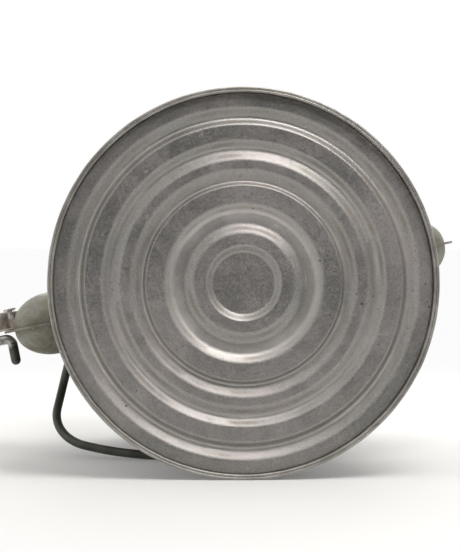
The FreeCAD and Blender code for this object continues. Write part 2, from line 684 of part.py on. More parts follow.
def make_lever():
    """The latch lever: a channel pressed open side down, bored for its two rivets."""
    inner, outer = LEVER_INNER, f"({LEVER_INNER} - lever_width)"
    high, low = "(latch_z + lever_depth / 2)", "(latch_z - lever_depth / 2)"
    channel = pressed("lever_channel", "YZ_Plane", (
        (outer, low), (f"{outer} + lever_sheet", low), (f"{outer} + lever_sheet", f"{high} - lever_sheet"),
        (f"{inner} - lever_sheet", f"{high} - lever_sheet"), (f"{inner} - lever_sheet", low), (inner, low),
        (inner, high), (outer, high),
    ), f"0 - {HOOK_X} - lever_tail", f"lever_length + lever_tail + lever_nose")
    bores = [cylinder(f"lever_bore_{word}", "latch_pin_radius + pin_gap", "lever_width * 3", x=f"0 - {x}",
                      y="lever_width", z="latch_z", axis=(1, 0, 0), angle=90.0)
             for word, x in (("lug", "latch_x"), ("hook", HOOK_X))]
    return cut("latch_lever", channel, fuse("lever_bores", *bores))


def make_latch_rivets():
    """The rivet that hangs the lever on the ear's lug, and the shouldered one that carries the hook."""
    outer = f"(lever_width - {LEVER_INNER})"
    lug = fuse("latch_rivet",
               cylinder("latch_rivet_shank", "latch_pin_radius", f"fin_sheet / 2 + {outer} + slack / 2",
                        x="0 - latch_x", y="fin_sheet / 2", z="latch_z", axis=(1, 0, 0), angle=90.0),
               cylinder("latch_rivet_head", "latch_pin_radius * 2", "1.2", x="0 - latch_x",
                        y=f"0 - {outer} - slack / 2", z="latch_z", axis=(1, 0, 0), angle=90.0))
    eye_face = "(hook_side + hook_eye_half + slack / 2)"
    hook = fuse("hook_rivet",
                cylinder("hook_rivet_shank", "latch_pin_radius", f"{eye_face} + {outer} + slack / 2",
                         x=f"0 - {HOOK_X}", y=eye_face, z="latch_z", axis=(1, 0, 0), angle=90.0),
                cylinder("hook_rivet_tail", "latch_pin_radius * 2", "1.2", x=f"0 - {HOOK_X}",
                         y=f"0 - {outer} - slack / 2", z="latch_z", axis=(1, 0, 0), angle=90.0),
                cylinder("hook_rivet_head", "latch_pin_radius * 2", "1.2", x=f"0 - {HOOK_X}",
                         y=f"{eye_face} + 1.2", z="latch_z", axis=(1, 0, 0), angle=90.0),
                cylinder("hook_rivet_shoulder", "latch_pin_radius * 1.6",
                         f"hook_side - hook_eye_half - slack / 2 - {LEVER_INNER} - seat_gap", x=f"0 - {HOOK_X}",
                         y="hook_side - hook_eye_half - slack / 2", z="latch_z", axis=(1, 0, 0), angle=90.0))
    return lug, hook


def make_hook():
    """The steel hook: an eye on the lever's rivet, a straight rod, and an end bent along Y with a round tip."""
    radius, side, height = number("hook_rod_radius"), number("hook_side"), number("latch_z")
    start, length = -number(HOOK_X), number(HOOK_LENGTH)
    eye_radius, eye_half = number("hook_eye_radius"), number("hook_eye_half")
    bend = radius * 1.3
    begin = Vector(start + eye_radius * 0.8, side, height)
    corner = Vector(start + length, side, height)
    before, after = corner - Vector(bend, 0, 0), corner + Vector(0, bend, 0)
    middle = before + Vector(bend * math.sin(math.pi / 4), bend * (1 - math.cos(math.pi / 4)), 0)
    tip = corner + Vector(0, number("hook_pin_length") - radius, 0)
    path = Part.Wire([Part.LineSegment(begin, before).toShape(), Part.Arc(before, middle, after).toShape(),
                      Part.LineSegment(after, tip).toShape()])
    section = Part.Wire([Part.Circle(begin, Vector(1, 0, 0), radius).toShape()])
    rod = path.makePipeShell([section], True, False)
    eye = Part.makeCylinder(eye_radius, eye_half * 2, Vector(start, side - eye_half, height), Vector(0, 1, 0))
    bore = Part.makeCylinder(number("latch_pin_radius + pin_gap"), 40, Vector(start, side - 20, height), Vector(0, 1, 0))
    hook = doc.addObject("Part::Feature", "latch_hook")
    hook.Shape = rod.fuse([eye, Part.makeSphere(radius, tip)]).cut(bore)
    return hook


# ---------------------------------------------------------------- assembly
def riveted(label, blank, holes):
    """A sheet piece less the rivet holes that pass through it."""
    return cut(label, blank, fuse(label + "_holes", *holes))


def main():
    """Builds every piece, checks it and writes one STEP file for each."""
    nodes = {}
    nodes["foot_hoop"] = make_foot_hoop()
    nodes["bottom_pan"] = make_bottom_pan()
    drum = make_drum()
    nodes["side_seam"] = make_side_seam()
    nodes["mouth_curl"], nodes["mouth_wire"], curl_seat = make_mouth()
    drum_holes, wall, plate = [curl_seat], number("wall"), number("plate")
    for word, side in (("left", -1), ("right", 1)):
        saddle, shells, web = make_ear(word, side)
        spots, rivets, holes = ear_rivet_spots(side), [], []
        for i, (at, outward) in enumerate(spots):
            rivets.append(rivet(f"ear_rivet_{word}_{i}", at, outward, -wall - 0.1, plate + 0.1))
            holes.append(rivet_hole(f"ear_hole_{word}_{i}", at, outward, -wall - 0.1, plate + 0.1))
        nodes[f"ear_plate_{word}"] = riveted(f"ear_plate_{word}", saddle, holes)
        nodes[f"ear_shell_{word}_front"], nodes[f"ear_shell_{word}_back"] = shells
        nodes[f"ear_web_{word}"] = web
        nodes[f"ear_rivets_{word}"] = group(f"ear_rivets_{word}", *rivets)
        drum_holes += holes
        blank, rivets, holes = make_bail_bracket(word, side), [], []
        for i, (at, outward) in enumerate(bracket_rivet_spots(side)):
            flat = number("neck_radius") + plate - abs(at[0])
            rivets.append(rivet(f"bracket_rivet_{word}_{i}", at, outward, -wall - 0.25, flat))
            holes.append(rivet_hole(f"bracket_hole_{word}_{i}", at, outward, -wall - 0.25, flat))
        nodes[f"bail_bracket_{word}"] = riveted(f"bail_bracket_{word}", blank, holes)
        nodes[f"bracket_rivets_{word}"] = group(f"bracket_rivets_{word}", *rivets)
        drum_holes += holes
    nodes["bail_wire"] = make_bail()
    lid_pan, nodes["lid_rim"], nodes["lid_collar"] = make_lid()
    strap, spots, base = make_handle()
    rivets, holes = [], []
    for i, (at, outward) in enumerate(spots):
        spot = (at[0], at[1], base)
        rivets.append(rivet(f"handle_rivet_{i}", spot, outward, -wall, number("handle_sheet")))
        holes.append(rivet_hole(f"handle_hole_{i}", spot, outward, -wall, number("handle_sheet")))
    nodes["lid_handle"] = riveted("lid_handle", strap, holes)
    nodes["lid_pan"] = riveted("lid_pan", lid_pan, holes)
    nodes["handle_rivets"] = group("handle_rivets", *rivets)
    bracket, nodes["hinge_leaf"], nodes["hinge_pin"], spots = make_hinge()
    rivets, holes = [], []
    for i, (at, outward) in enumerate(spots):
        rivets.append(rivet(f"hinge_rivet_{i}", at, outward, -wall - 0.1, plate + 0.1))
        holes.append(rivet_hole(f"hinge_hole_{i}", at, outward, -wall - 0.1, plate + 0.1))
    nodes["hinge_bracket"] = riveted("hinge_bracket", bracket, holes)
    nodes["hinge_rivets"] = group("hinge_rivets", *rivets)
    nodes["body_drum"] = riveted("body_drum", drum, drum_holes + holes)
    nodes["latch_keeper"], nodes["latch_lever"], nodes["latch_hook"] = make_keeper(), make_lever(), make_hook()
    nodes["latch_rivet"], nodes["hook_rivet"] = make_latch_rivets()
    doc.recompute()
    for thing in doc.Objects:
        if {"Invalid", "Error"} & set(thing.State):
            raise RuntimeError(f"{thing.Name} failed: {thing.State}")
    os.makedirs("parts", exist_ok=True)
    for label, thing in nodes.items():
        thing.Label = label
        shape = thing.Shape
        if shape.isNull() or not shape.isValid() or not shape.Solids:
            raise RuntimeError(f"{label} has no valid solid")
        shape.exportStep(f"parts/{label}.step")
        box = shape.BoundBox
        print(f"{label:22s} {len(shape.Solids):2d} solids {shape.Volume / 1000:8.2f} cm3 "
              f"x {box.XMin:7.1f} {box.XMax:7.1f} y {box.YMin:7.1f} {box.YMax:7.1f} z {box.ZMin:6.1f} {box.ZMax:6.1f}")
    print("latch closes with the hook turned", round(90 + math.degrees(math.atan2(
        number(f"{KEEPER_Z} - latch_z - lever_length"), number("latch_x - keeper_x"))), 2), "degrees")


main()
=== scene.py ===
"""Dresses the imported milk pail: worn tinned sheet, tarnished ears, dark wire bail, lid, latch and a plain studio."""

import logging
import math
from dataclasses import dataclass
from enum import Enum
from typing import Callable, Iterable, Sequence

import bmesh
import bpy
from mathutils import Matrix, Vector, noise

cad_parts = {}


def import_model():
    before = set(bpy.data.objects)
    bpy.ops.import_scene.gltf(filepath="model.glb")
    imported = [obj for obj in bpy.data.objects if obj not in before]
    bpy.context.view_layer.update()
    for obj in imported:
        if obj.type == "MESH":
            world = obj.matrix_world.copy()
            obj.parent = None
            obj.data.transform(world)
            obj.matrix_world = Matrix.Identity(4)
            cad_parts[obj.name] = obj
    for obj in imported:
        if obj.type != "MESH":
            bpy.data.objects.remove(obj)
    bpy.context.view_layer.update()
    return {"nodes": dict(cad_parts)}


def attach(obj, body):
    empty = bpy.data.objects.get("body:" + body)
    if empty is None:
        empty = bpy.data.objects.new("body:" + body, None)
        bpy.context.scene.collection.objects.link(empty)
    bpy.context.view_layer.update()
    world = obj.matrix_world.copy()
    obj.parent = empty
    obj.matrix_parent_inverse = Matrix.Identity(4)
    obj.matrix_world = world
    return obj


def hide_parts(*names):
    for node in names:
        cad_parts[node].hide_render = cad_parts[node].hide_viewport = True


LOG = logging.getLogger("milk_pail")
MM = 0.001
Point = tuple[float, float]
Spot = tuple[float, float, float]
Colour = tuple[float, float, float]


class Side(Enum):
    """A side of the pail: the latch's at -X or the hinge's at +X."""

    LEFT = -1
    RIGHT = 1


# ------------------------------------------------------------------ shader maths


class Signal:
    """One value, colour or vector inside a shader graph, with arithmetic for values."""

    def __init__(self, graph: "Graph", socket: bpy.types.NodeSocket) -> None:
        """Wraps a node's output socket."""
        self.graph = graph
        self.socket = socket

    def __add__(self, other: "Value") -> "Signal":
        """Sum of two values."""
        return self.graph.maths("ADD", self, other)

    def __radd__(self, other: float) -> "Signal":
        """Sum with a plain number on the left."""
        return self.graph.maths("ADD", other, self)

    def __sub__(self, other: "Value") -> "Signal":
        """Difference of two values."""
        return self.graph.maths("SUBTRACT", self, other)

    def __rsub__(self, other: float) -> "Signal":
        """Difference with a plain number on the left."""
        return self.graph.maths("SUBTRACT", other, self)

    def __mul__(self, other: "Value") -> "Signal":
        """Product of two values."""
        return self.graph.maths("MULTIPLY", self, other)

    def __rmul__(self, other: float) -> "Signal":
        """Product with a plain number on the left."""
        return self.graph.maths("MULTIPLY", other, self)


Value = Signal | float


class Graph:
    """The node tree of a material or a world, written through a handful of calls."""

    def __init__(self, owner: bpy.types.Material | bpy.types.World) -> None:
        """Empties the tree of a material or a world."""
        self.owner = owner
        owner.use_nodes = True
        self.tree = owner.node_tree
        self.tree.nodes.clear()

    def node(self, kind: str, settings: dict | None = None, sockets: dict | None = None,
             result: str | int | None = 0) -> Signal | None:
        """Adds one node.

        Args:
            kind: the node's type name.
            settings: attributes set before the sockets.
            sockets: values or signals for input sockets, by name or number.
            result: which output is returned; an output node has none.

        Returns:
            The chosen output as a signal.
        """
        made = self.tree.nodes.new(kind)
        for key, value in (settings or {}).items():
            setattr(made, key, value)
        for key, value in (sockets or {}).items():
            if isinstance(value, Signal):
                self.tree.links.new(value.socket, made.inputs[key])
            else:
                made.inputs[key].default_value = value
        return None if result is None else Signal(self, made.outputs[result])

    def maths(self, operation: str, *values: Value, clamp: bool = False) -> Signal:
        """A Math node on values or signals."""
        return self.node("ShaderNodeMath", {"operation": operation, "use_clamp": clamp}, dict(enumerate(values)))

    def blend(self, factor: Value, first: "Signal | Colour", second: "Signal | Colour") -> Signal:
        """Mixes two colours by a factor.

        Args:
            factor: 0 gives the first colour, 1 the second.
            first: a colour or a colour signal.
            second: a colour or a colour signal.

        Returns:
            The mixed colour.
        """
        pair = [c if isinstance(c, Signal) else (*c, 1.0) for c in (first, second)]
        return self.node("ShaderNodeMix", {"data_type": "RGBA", "clamp_factor": True},
                         {0: factor, 6: pair[0], 7: pair[1]}, result=2)

    def place(self) -> Signal:
        """The point on the piece, in metres of the pail's frame."""
        return self.node("ShaderNodeTexCoord", result="Object")

    def parts(self, vector: Signal) -> tuple[Signal, Signal, Signal]:
        """A vector's three values."""
        split = self.node("ShaderNodeSeparateXYZ", sockets={0: vector})
        outputs = split.socket.node.outputs
        return Signal(self, outputs[0]), Signal(self, outputs[1]), Signal(self, outputs[2])

    def stretch(self, vector: Signal, scale: Spot, turn: Spot = (0.0, 0.0, 0.0)) -> Signal:
        """A point turned and then scaled along each axis."""
        return self.node("ShaderNodeMapping", {"vector_type": "POINT"},
                         {"Vector": vector, "Rotation": turn, "Scale": scale})

    def cloud(self, vector: Signal, scale: float, detail: float = 4.0, rough: float = 0.55,
              warp: float = 0.0) -> Signal:
        """Fractal noise about 0.5.

        Args:
            vector: where it is read.
            scale: its features per metre.
            detail: how many octaves.
            rough: how strong the fine octaves are.
            warp: how much it folds on itself.

        Returns:
            The noise value.
        """
        return self.node("ShaderNodeTexNoise", {"noise_dimensions": "3D"},
                         {"Vector": vector, "Scale": scale, "Detail": detail, "Roughness": rough,
                          "Distortion": warp})

    def cells(self, vector: Signal, scale: float) -> Signal:
        """The distance to the nearest of many scattered points."""
        return self.node("ShaderNodeTexVoronoi", {"feature": "F1"},
                         {"Vector": vector, "Scale": scale, "Randomness": 1.0}, result="Distance")

    def between(self, value: Value, low: float, high: float) -> Signal:
        """0 below low and 1 above high, eased; low may be the larger."""
        return self.node("ShaderNodeMapRange", {"interpolation_type": "SMOOTHSTEP"},
                         {"Value": value, "From Min": low, "From Max": high, "To Min": 0.0, "To Max": 1.0})

    def band(self, value: Signal, centre: float, half: float) -> Signal:
        """1 at a centre value, easing to 0 half a width away."""
        return self.between(self.maths("ABSOLUTE", value - centre), half, 0.0)

    def relief(self, height: Signal, depth: float) -> Signal:
        """A bumped normal from a height that is 0 to 1 over a depth in metres."""
        return self.node("ShaderNodeBump", sockets={"Height": height, "Distance": depth, "Strength": 1.0})

    def close(self, **sockets: "Signal | float | Colour") -> bpy.types.Material:
        """Ends the graph in a Principled shader.

        Args:
            sockets: its inputs by name, with underscores for spaces.

        Returns:
            The finished material.
        """
        filled = {key.replace("_", " "): ((*value, 1.0) if isinstance(value, tuple) else value)
                  for key, value in sockets.items()}
        shader = self.node("ShaderNodeBsdfPrincipled", sockets=filled)
        self.node_end(shader)
        return self.owner

    def node_end(self, shader: Signal, kind: str = "ShaderNodeOutputMaterial") -> None:
        """Links a shader to the surface of the tree's output node."""
        self.node(kind, sockets={"Surface": shader}, result=None)


# ------------------------------------------------------------------ finishes


@dataclass(frozen=True)
class WornTin:
    """Dull pewter-grey tinned sheet: mottled, pitted, scratched, stained, with brown dirt in its creases and, where
    listed, patchy pale rings of worn tin and painted highlight.
    """

    name: str = "worn_tin"
    bright: Colour = (0.40, 0.375, 0.365)
    dull: Colour = (0.31, 0.306, 0.29)
    # Pale tint of the listed rings: worn tin and painted highlight.
    rubbed_and_highlight: Colour = (0.66, 0.63, 0.60)
    dirt: Colour = (0.20, 0.158, 0.112)
    stain: Colour = (0.55, 0.53, 0.49)
    pit_colour: Colour = (0.05, 0.046, 0.043)
    crease_radii: tuple[float, ...] = ()
    crease_half: float = 1.8
    # Radius and half width in millimetres of each pale ring of wear and painted highlight.
    wear_and_highlight_rings: tuple[tuple[float, float], ...] = ()
    pit_patch: tuple[float, float, float] | None = None

    def make(self) -> bpy.types.Material:
        """Builds the material."""
        g = Graph(bpy.data.materials.new(self.name))
        at = g.place()
        x, y, _ = g.parts(at)
        radius = g.maths("SQRT", x * x + y * y)
        broad = g.cloud(at, 16.0, 3.0, 0.5, 0.4)
        mottle = g.cloud(at, 95.0, 5.0, 0.62, 0.3)
        grain = g.cloud(at, 900.0, 3.0, 0.7)
        wear = g.between(broad * 0.6 + mottle * 0.4, 0.34, 0.66)
        colour = g.blend(wear, self.dull, self.bright)
        colour = g.blend(g.between(grain, 0.50, 0.70) * 0.40, colour, self.stain)
        colour = g.blend(g.between(grain, 0.50, 0.30) * 0.42, colour, self.dirt)
        crease: Value = 0.0
        for at_radius in self.crease_radii:
            crease = g.band(radius, at_radius * MM, self.crease_half * MM) + crease
        patchy = g.between(g.cloud(at, 24.0, 6.0, 0.62, 0.8), 0.38, 0.74)
        # Painted highlight and wear: patchy pale rings at the listed radii.
        rubbed_and_highlight: Value = 0.0
        for at_radius, half in self.wear_and_highlight_rings:
            rubbed_and_highlight = g.band(radius, at_radius * MM, half * MM) + rubbed_and_highlight
        if self.wear_and_highlight_rings:
            colour = g.blend(g.maths("MINIMUM", rubbed_and_highlight, 1.0) * (0.40 + 0.45 * patchy), colour, self.rubbed_and_highlight)
        grime: Value = g.between(g.cloud(at, 38.0, 6.0, 0.7, 1.2), 0.60, 0.78) * 0.30
        if self.crease_radii:
            grime = g.maths("MAXIMUM", crease * patchy * 0.55, grime)
        colour = g.blend(grime, colour, self.dirt)
        chalk = g.between(g.cloud(g.stretch(at, (1.0, 1.5, 1.0), (0.3, 0.2, 0.9)), 46.0, 7.0, 0.72, 1.6), 0.63, 0.74)
        colour = g.blend(chalk * 0.34, colour, self.stain)
        scratch = self.scratches(g, at)
        colour = g.blend(scratch * 0.35, colour, self.stain)
        pits = self.pits(g, at, x, y)
        colour = g.blend(pits, colour, self.pit_colour)
        rough = 0.39 + 0.10 * wear + 0.10 * g.between(grain, 0.3, 0.7) + 0.16 * chalk
        rough = g.maths("ADD", rough, grime * 0.35, clamp=True)
        metal = g.maths("SUBTRACT", 0.92, 0.35 * chalk + 0.55 * pits + 0.55 * grime, clamp=True)
        height = grain * 0.55 + mottle * 0.4 + scratch * -0.12 + pits * -0.9
        return g.close(Base_Color=colour, Roughness=rough, Metallic=metal, Normal=g.relief(height, 0.00016))

    @staticmethod
    def scratches(g: Graph, at: Signal) -> Signal:
        """Fine wandering scratches in three directions."""
        total: Value = 0.0
        for turn, scale in ((0.5, 340.0), (1.7, 260.0), (2.6, 420.0)):
            line = g.cloud(g.stretch(at, (1.0, 0.045, 1.0), (0.0, 0.0, turn)), scale, 2.0, 0.4, 0.15)
            thin = g.band(line, 0.5, 0.006)
            here = g.between(g.cloud(at, 30.0 + 9.0 * turn, 2.0), 0.52, 0.62)
            total = thin * here + total
        return g.maths("MINIMUM", total, 1.0)

    def pits(self, g: Graph, at: Signal, x: Signal, y: Signal) -> Signal:
        """Small dark corrosion pits, denser in one patch where there is one."""
        fine = g.between(g.cells(at, 260.0), 0.17, 0.10)
        coarse = g.between(g.cells(at, 120.0), 0.13, 0.085)
        some = g.between(g.cloud(at, 62.0, 3.0), 0.60, 0.68)
        few = g.between(g.cloud(at, 33.0, 2.0), 0.62, 0.70)
        total = g.maths("MAXIMUM", fine * some * 0.55, coarse * few * 0.75)
        if self.pit_patch is not None:
            px, py, half = (value * MM for value in self.pit_patch)
            away = g.maths("SQRT", (x - px) * (x - px) + (y - py) * (y - py))
            patch = g.between(away, half, half * 0.35)
            thick = g.between(g.cloud(at, 85.0, 3.0), 0.44, 0.56)
            total = g.maths("MAXIMUM", total, g.maths("MAXIMUM", fine * 0.8, coarse) * patch * thick * 0.85)
        return total


@dataclass(frozen=True)
class WornHoop:
    """The foot hoop's tin, worn bright and beige in patches."""

    name: str = "worn_hoop"
    rubbed_and_highlight: Colour = (0.44, 0.425, 0.395)
    dull: Colour = (0.32, 0.305, 0.28)
    dark: Colour = (0.09, 0.082, 0.07)
    bare: Colour = (0.80, 0.78, 0.74)

    def make(self) -> bpy.types.Material:
        """Builds the material."""
        g = Graph(bpy.data.materials.new(self.name))
        at = g.place()
        wear = g.between(g.cloud(at, 60.0, 6.0, 0.62, 0.5), 0.36, 0.64)
        colour = g.blend(wear, self.dull, self.rubbed_and_highlight)
        nick = g.between(g.cloud(at, 420.0, 3.0, 0.6), 0.60, 0.72)
        colour = g.blend(nick * 0.4, colour, self.dark)
        bright = g.between(g.cells(at, 170.0), 0.12, 0.05)
        colour = g.blend(bright * 0.6, colour, self.bare)
        rough = 0.42 + 0.22 * nick + 0.10 * wear
        height = wear * 0.3 + nick * -0.5
        return g.close(Base_Color=colour, Roughness=rough, Metallic=0.8, Normal=g.relief(height, 0.00016))


@dataclass(frozen=True)
class Tarnish:
    """Grey-green tarnished tin with brown patches, for the ears, brackets and hinge."""

    name: str = "tarnished_tin"
    green: Colour = (0.205, 0.196, 0.148)
    grey: Colour = (0.275, 0.27, 0.238)
    brown: Colour = (0.15, 0.115, 0.07)
    pale: Colour = (0.50, 0.48, 0.43)

    def make(self) -> bpy.types.Material:
        """Builds the material."""
        g = Graph(bpy.data.materials.new(self.name))
        at = g.place()
        wear = g.between(g.cloud(at, 75.0, 5.0, 0.6, 0.6), 0.38, 0.62)
        colour = g.blend(wear, self.green, self.grey)
        patch = g.between(g.cloud(at, 40.0, 6.0, 0.7, 1.0), 0.50, 0.70)
        colour = g.blend(patch * 0.6, colour, self.brown)
        speck = g.between(g.cloud(at, 520.0, 3.0, 0.7), 0.58, 0.70)
        colour = g.blend(speck * 0.5, colour, self.brown)
        rub = g.between(g.cloud(at, 300.0, 4.0, 0.7), 0.62, 0.72)
        colour = g.blend(rub * 0.6, colour, self.pale)
        rough = 0.50 + 0.20 * patch + 0.08 * speck
        metal = 0.75 - 0.35 * patch
        height = wear * 0.4 + speck * -0.5 + rub * 0.2
        return g.close(Base_Color=colour, Roughness=rough, Metallic=metal, Normal=g.relief(height, 0.0003))


@dataclass(frozen=True)
class DarkSteel:
    """Dark drawn steel with a dull oily bloom and scattered rust, and round a given spot a pale patch of worn steel
    and painted highlight.
    """

    name: str = "dark_wire"
    dark: Colour = (0.06, 0.062, 0.055)
    bloom: Colour = (0.15, 0.15, 0.13)
    rust: Colour = (0.12, 0.06, 0.03)
    # Pale tint of the given spot: worn steel and painted highlight.
    worn: Colour = (0.52, 0.51, 0.48)
    gloss: float = 0.36
    # Centre and reach in millimetres of the pale patch of wear and painted highlight.
    wear_and_highlight_spot: tuple[float, float, float, float] | None = None

    def make(self) -> bpy.types.Material:
        """Builds the material."""
        g = Graph(bpy.data.materials.new(self.name))
        at = g.place()
        haze = g.between(g.cloud(at, 70.0, 4.0, 0.5, 0.4), 0.30, 0.70)
        colour = g.blend(haze * 0.5, self.dark, self.bloom)
        rusty = g.between(g.cloud(at, 210.0, 5.0, 0.7), 0.64, 0.78)
        colour = g.blend(rusty * 0.4, colour, self.rust)
        # Painted highlight and wear: a pale patch fading out round the given spot.
        if self.wear_and_highlight_spot is not None:
            x, y, z = g.parts(at)
            sx, sy, sz, reach = (value * MM for value in self.wear_and_highlight_spot)
            away = g.maths("SQRT", (x - sx) * (x - sx) + (y - sy) * (y - sy) + (z - sz) * (z - sz))
            pale = g.between(away, reach, reach * 0.6) * g.between(g.cloud(at, 240.0, 3.0, 0.6), 0.32, 0.48)
            colour = g.blend(pale * 0.85, colour, self.worn)
        rough = self.gloss + 0.10 * haze + 0.2 * rusty
        height = haze * 0.1 + rusty * 0.4
        return g.close(Base_Color=colour, Roughness=rough, Metallic=0.75 - 0.5 * rusty,
                       Normal=g.relief(height, 0.00012))


@dataclass(frozen=True)
class LeverSteel:
    """Pale worn steel of the latch lever, with patches of rust-brown."""

    name: str = "latch_steel"
    pale: Colour = (0.60, 0.575, 0.53)
    grey: Colour = (0.38, 0.365, 0.34)
    rust: Colour = (0.20, 0.125, 0.075)

    def make(self) -> bpy.types.Material:
        """Builds the material."""
        g = Graph(bpy.data.materials.new(self.name))
        at = g.place()
        wear = g.between(g.cloud(at, 110.0, 5.0, 0.65, 0.4), 0.36, 0.60)
        colour = g.blend(wear, self.grey, self.pale)
        rusty = g.between(g.cloud(at, 60.0, 6.0, 0.72, 0.8), 0.50, 0.66)
        colour = g.blend(rusty * 0.7, colour, self.rust)
        speck = g.between(g.cloud(at, 600.0, 2.0, 0.6), 0.60, 0.70)
        colour = g.blend(speck * 0.4, colour, self.rust)
        rough = 0.46 + 0.25 * rusty
        return g.close(Base_Color=colour, Roughness=rough, Metallic=0.8 - 0.5 * rusty,
                       Normal=g.relief(wear * 0.4 + rusty * 0.6, 0.0002))


@dataclass(frozen=True)
class Paper:
    """The studio's pale sweep, seen only from the side that faces the pail."""

    name: str = "studio_paper"
    tone: Colour = (0.72, 0.72, 0.705)
    glow: float = 0.97
    middle: float = 120.0
    near: float = 150.0
    far: float = 800.0

    def make(self) -> bpy.types.Material:
        """Builds the material: matt paper by the pail, evenly bright further off, and nothing from behind."""
        g = Graph(bpy.data.materials.new(self.name))
        x, _, z = g.parts(g.place())
        z = z - self.middle * MM
        off = g.between(g.maths("SQRT", x * x + z * z), self.near * MM, self.far * MM)
        behind = g.node("ShaderNodeNewGeometry", result="Backfacing")
        clear = g.node("ShaderNodeBsdfTransparent")
        matt = g.node("ShaderNodeBsdfDiffuse", sockets={"Color": (*self.tone, 1.0)})
        glow = g.node("ShaderNodeEmission", sockets={"Strength": self.glow})
        face = g.node("ShaderNodeMixShader", sockets={0: 0.12 + 0.88 * off, 1: matt, 2: glow})
        g.node_end(g.node("ShaderNodeMixShader", sockets={0: behind, 1: face, 2: clear}))
        return g.owner


# ------------------------------------------------------------------ mesh making


def mesh_object(name: str, verts: Sequence[Spot], faces: Sequence[Sequence[int]],
                material: bpy.types.Material, smooth_angle: float = 40.0) -> bpy.types.Object:
    """Makes a mesh piece, smooth except over sharp edges.

    Args:
        name: the piece's name.
        verts: its points in metres.
        faces: its faces.
        material: its finish.
        smooth_angle: edges sharper than this many degrees stay sharp.

    Returns:
        The new object.
    """
    mesh = bpy.data.meshes.new(name)
    mesh.from_pydata([tuple(v) for v in verts], [], [tuple(f) for f in faces])
    mesh.validate()
    mesh.materials.append(material)
    made = bpy.data.objects.new(name, mesh)
    bpy.context.scene.collection.objects.link(made)
    mesh.shade_smooth()
    mesh.set_sharp_from_angle(angle=math.radians(smooth_angle))
    mesh.update()
    return made


def arc(centre: Point, radius: float, start: float, end: float, steps: int) -> list[Point]:
    """Points along an arc, from a start angle to an end angle in degrees."""
    angles = [math.radians(start + (end - start) * i / steps) for i in range(steps + 1)]
    return [(centre[0] + radius * math.cos(a), centre[1] + radius * math.sin(a)) for a in angles]


def rounded(corners: Sequence[Point], radius: float, steps: int = 4, closed: bool = True) -> list[Point]:
    """An outline with its corners rounded.

    Args:
        corners: the sharp outline.
        radius: the rounding, limited to what the sides leave.
        steps: how many points a corner gets, less one.
        closed: whether the last corner joins the first.

    Returns:
        The rounded outline.
    """
    count, result = len(corners), []
    for i, corner in enumerate(corners):
        if not closed and i in (0, count - 1):
            result.append(corner)
            continue
        here = Vector(corner)
        before, after = Vector(corners[i - 1]) - here, Vector(corners[(i + 1) % count]) - here
        size = min(radius, before.length * 0.45, after.length * 0.45)
        first, last = here + before.normalized() * size, here + after.normalized() * size
        for j in range(steps + 1):
            t = j / steps
            point = first * (1 - t) ** 2 + here * 2 * t * (1 - t) + last * t * t
            result.append((point.x, point.y))
    return result


def spun(name: str, chain: Sequence[Point], material: bpy.types.Material, closed: bool = False,
         sides: int = 192, ripple: Callable[[Spot], Spot] | None = None, smooth_angle: float = 40.0
         ) -> bpy.types.Object:
    """Spins an outline of (radius, height) in millimetres about the pail's axis.

    Args:
        name: the piece's name.
        chain: the outline; a point at radius 0 becomes a pole.
        material: its finish.
        closed: whether the outline's end joins its start.
        sides: how many steps the turn takes.
        ripple: moves each point a little, in millimetres, for dents and wear.
        smooth_angle: edges sharper than this stay sharp.

    Returns:
        The new object.
    """
    verts: list[Spot] = []
    rows: list[list[int]] = []
    for radius, height in chain:
        row = []
        for k in range(1 if radius < 1e-6 else sides):
            turn = 2 * math.pi * k / sides
            spot = (radius * math.cos(turn), radius * math.sin(turn), height)
            spot = ripple(spot) if ripple else spot
            row.append(len(verts))
            verts.append((spot[0] * MM, spot[1] * MM, spot[2] * MM))
        rows.append(row)
    faces: list[tuple[int, ...]] = []
    pairs = list(zip(rows, rows[1:])) + ([(rows[-1], rows[0])] if closed else [])
    for low, high in pairs:
        for k in range(sides):
            nxt = (k + 1) % sides
            if len(low) == 1 and len(high) == 1:
                break
            if len(low) == 1:
                faces.append((low[0], high[k], high[nxt])[::-1])
            elif len(high) == 1:
                faces.append((low[k], high[0], low[nxt])[::-1])
            else:
                faces.append((low[k], low[nxt], high[nxt], high[k]))
    made = mesh_object(name, verts, faces, material, smooth_angle)
    face_outward(made)
    return made


def face_outward(piece: bpy.types.Object) -> None:
    """Turns a closed mesh's faces to point out of it."""
    work = bmesh.new()
    work.from_mesh(piece.data)
    bmesh.ops.recalc_face_normals(work, faces=work.faces)
    work.to_mesh(piece.data)
    work.free()
    piece.data.update()


def tube(name: str, line: Sequence[Spot], radius: float, material: bpy.types.Material,
         sides: int = 24) -> bpy.types.Object:
    """Runs a round bar with domed ends along a line.

    Args:
        name: the piece's name.
        line: points in millimetres.
        radius: the bar's radius in millimetres.
        material: its finish.
        sides: how many sides the bar has.

    Returns:
        The new object.
    """
    points = [Vector(p) for p in line]
    last = len(points) - 1
    tangents = [(points[min(i + 1, last)] - points[max(i - 1, 0)]).normalized() for i in range(last + 1)]
    normals = [tangents[0].orthogonal().normalized()]
    for before, after in zip(tangents, tangents[1:]):
        normals.append((before.rotation_difference(after).to_matrix() @ normals[-1]).normalized())
    domes = [(radius * math.sin(a), radius * math.cos(a)) for a in (1.25, 0.85, 0.4)]
    rings = [(points[0] - tangents[0] * out, 0, across) for out, across in domes]
    rings += [(point, i, radius) for i, point in enumerate(points)]
    rings += [(points[-1] + tangents[-1] * out, last, across) for out, across in reversed(domes)]
    turns = [2 * math.pi * k / sides for k in range(sides)]
    sections = []
    for centre, i, size in rings:
        up = tangents[i].cross(normals[i])
        sections.append([tuple(centre + normals[i] * (math.cos(t) * size) + up * (math.sin(t) * size))
                         for t in turns])
    return strip(name, sections, material, 50.0)


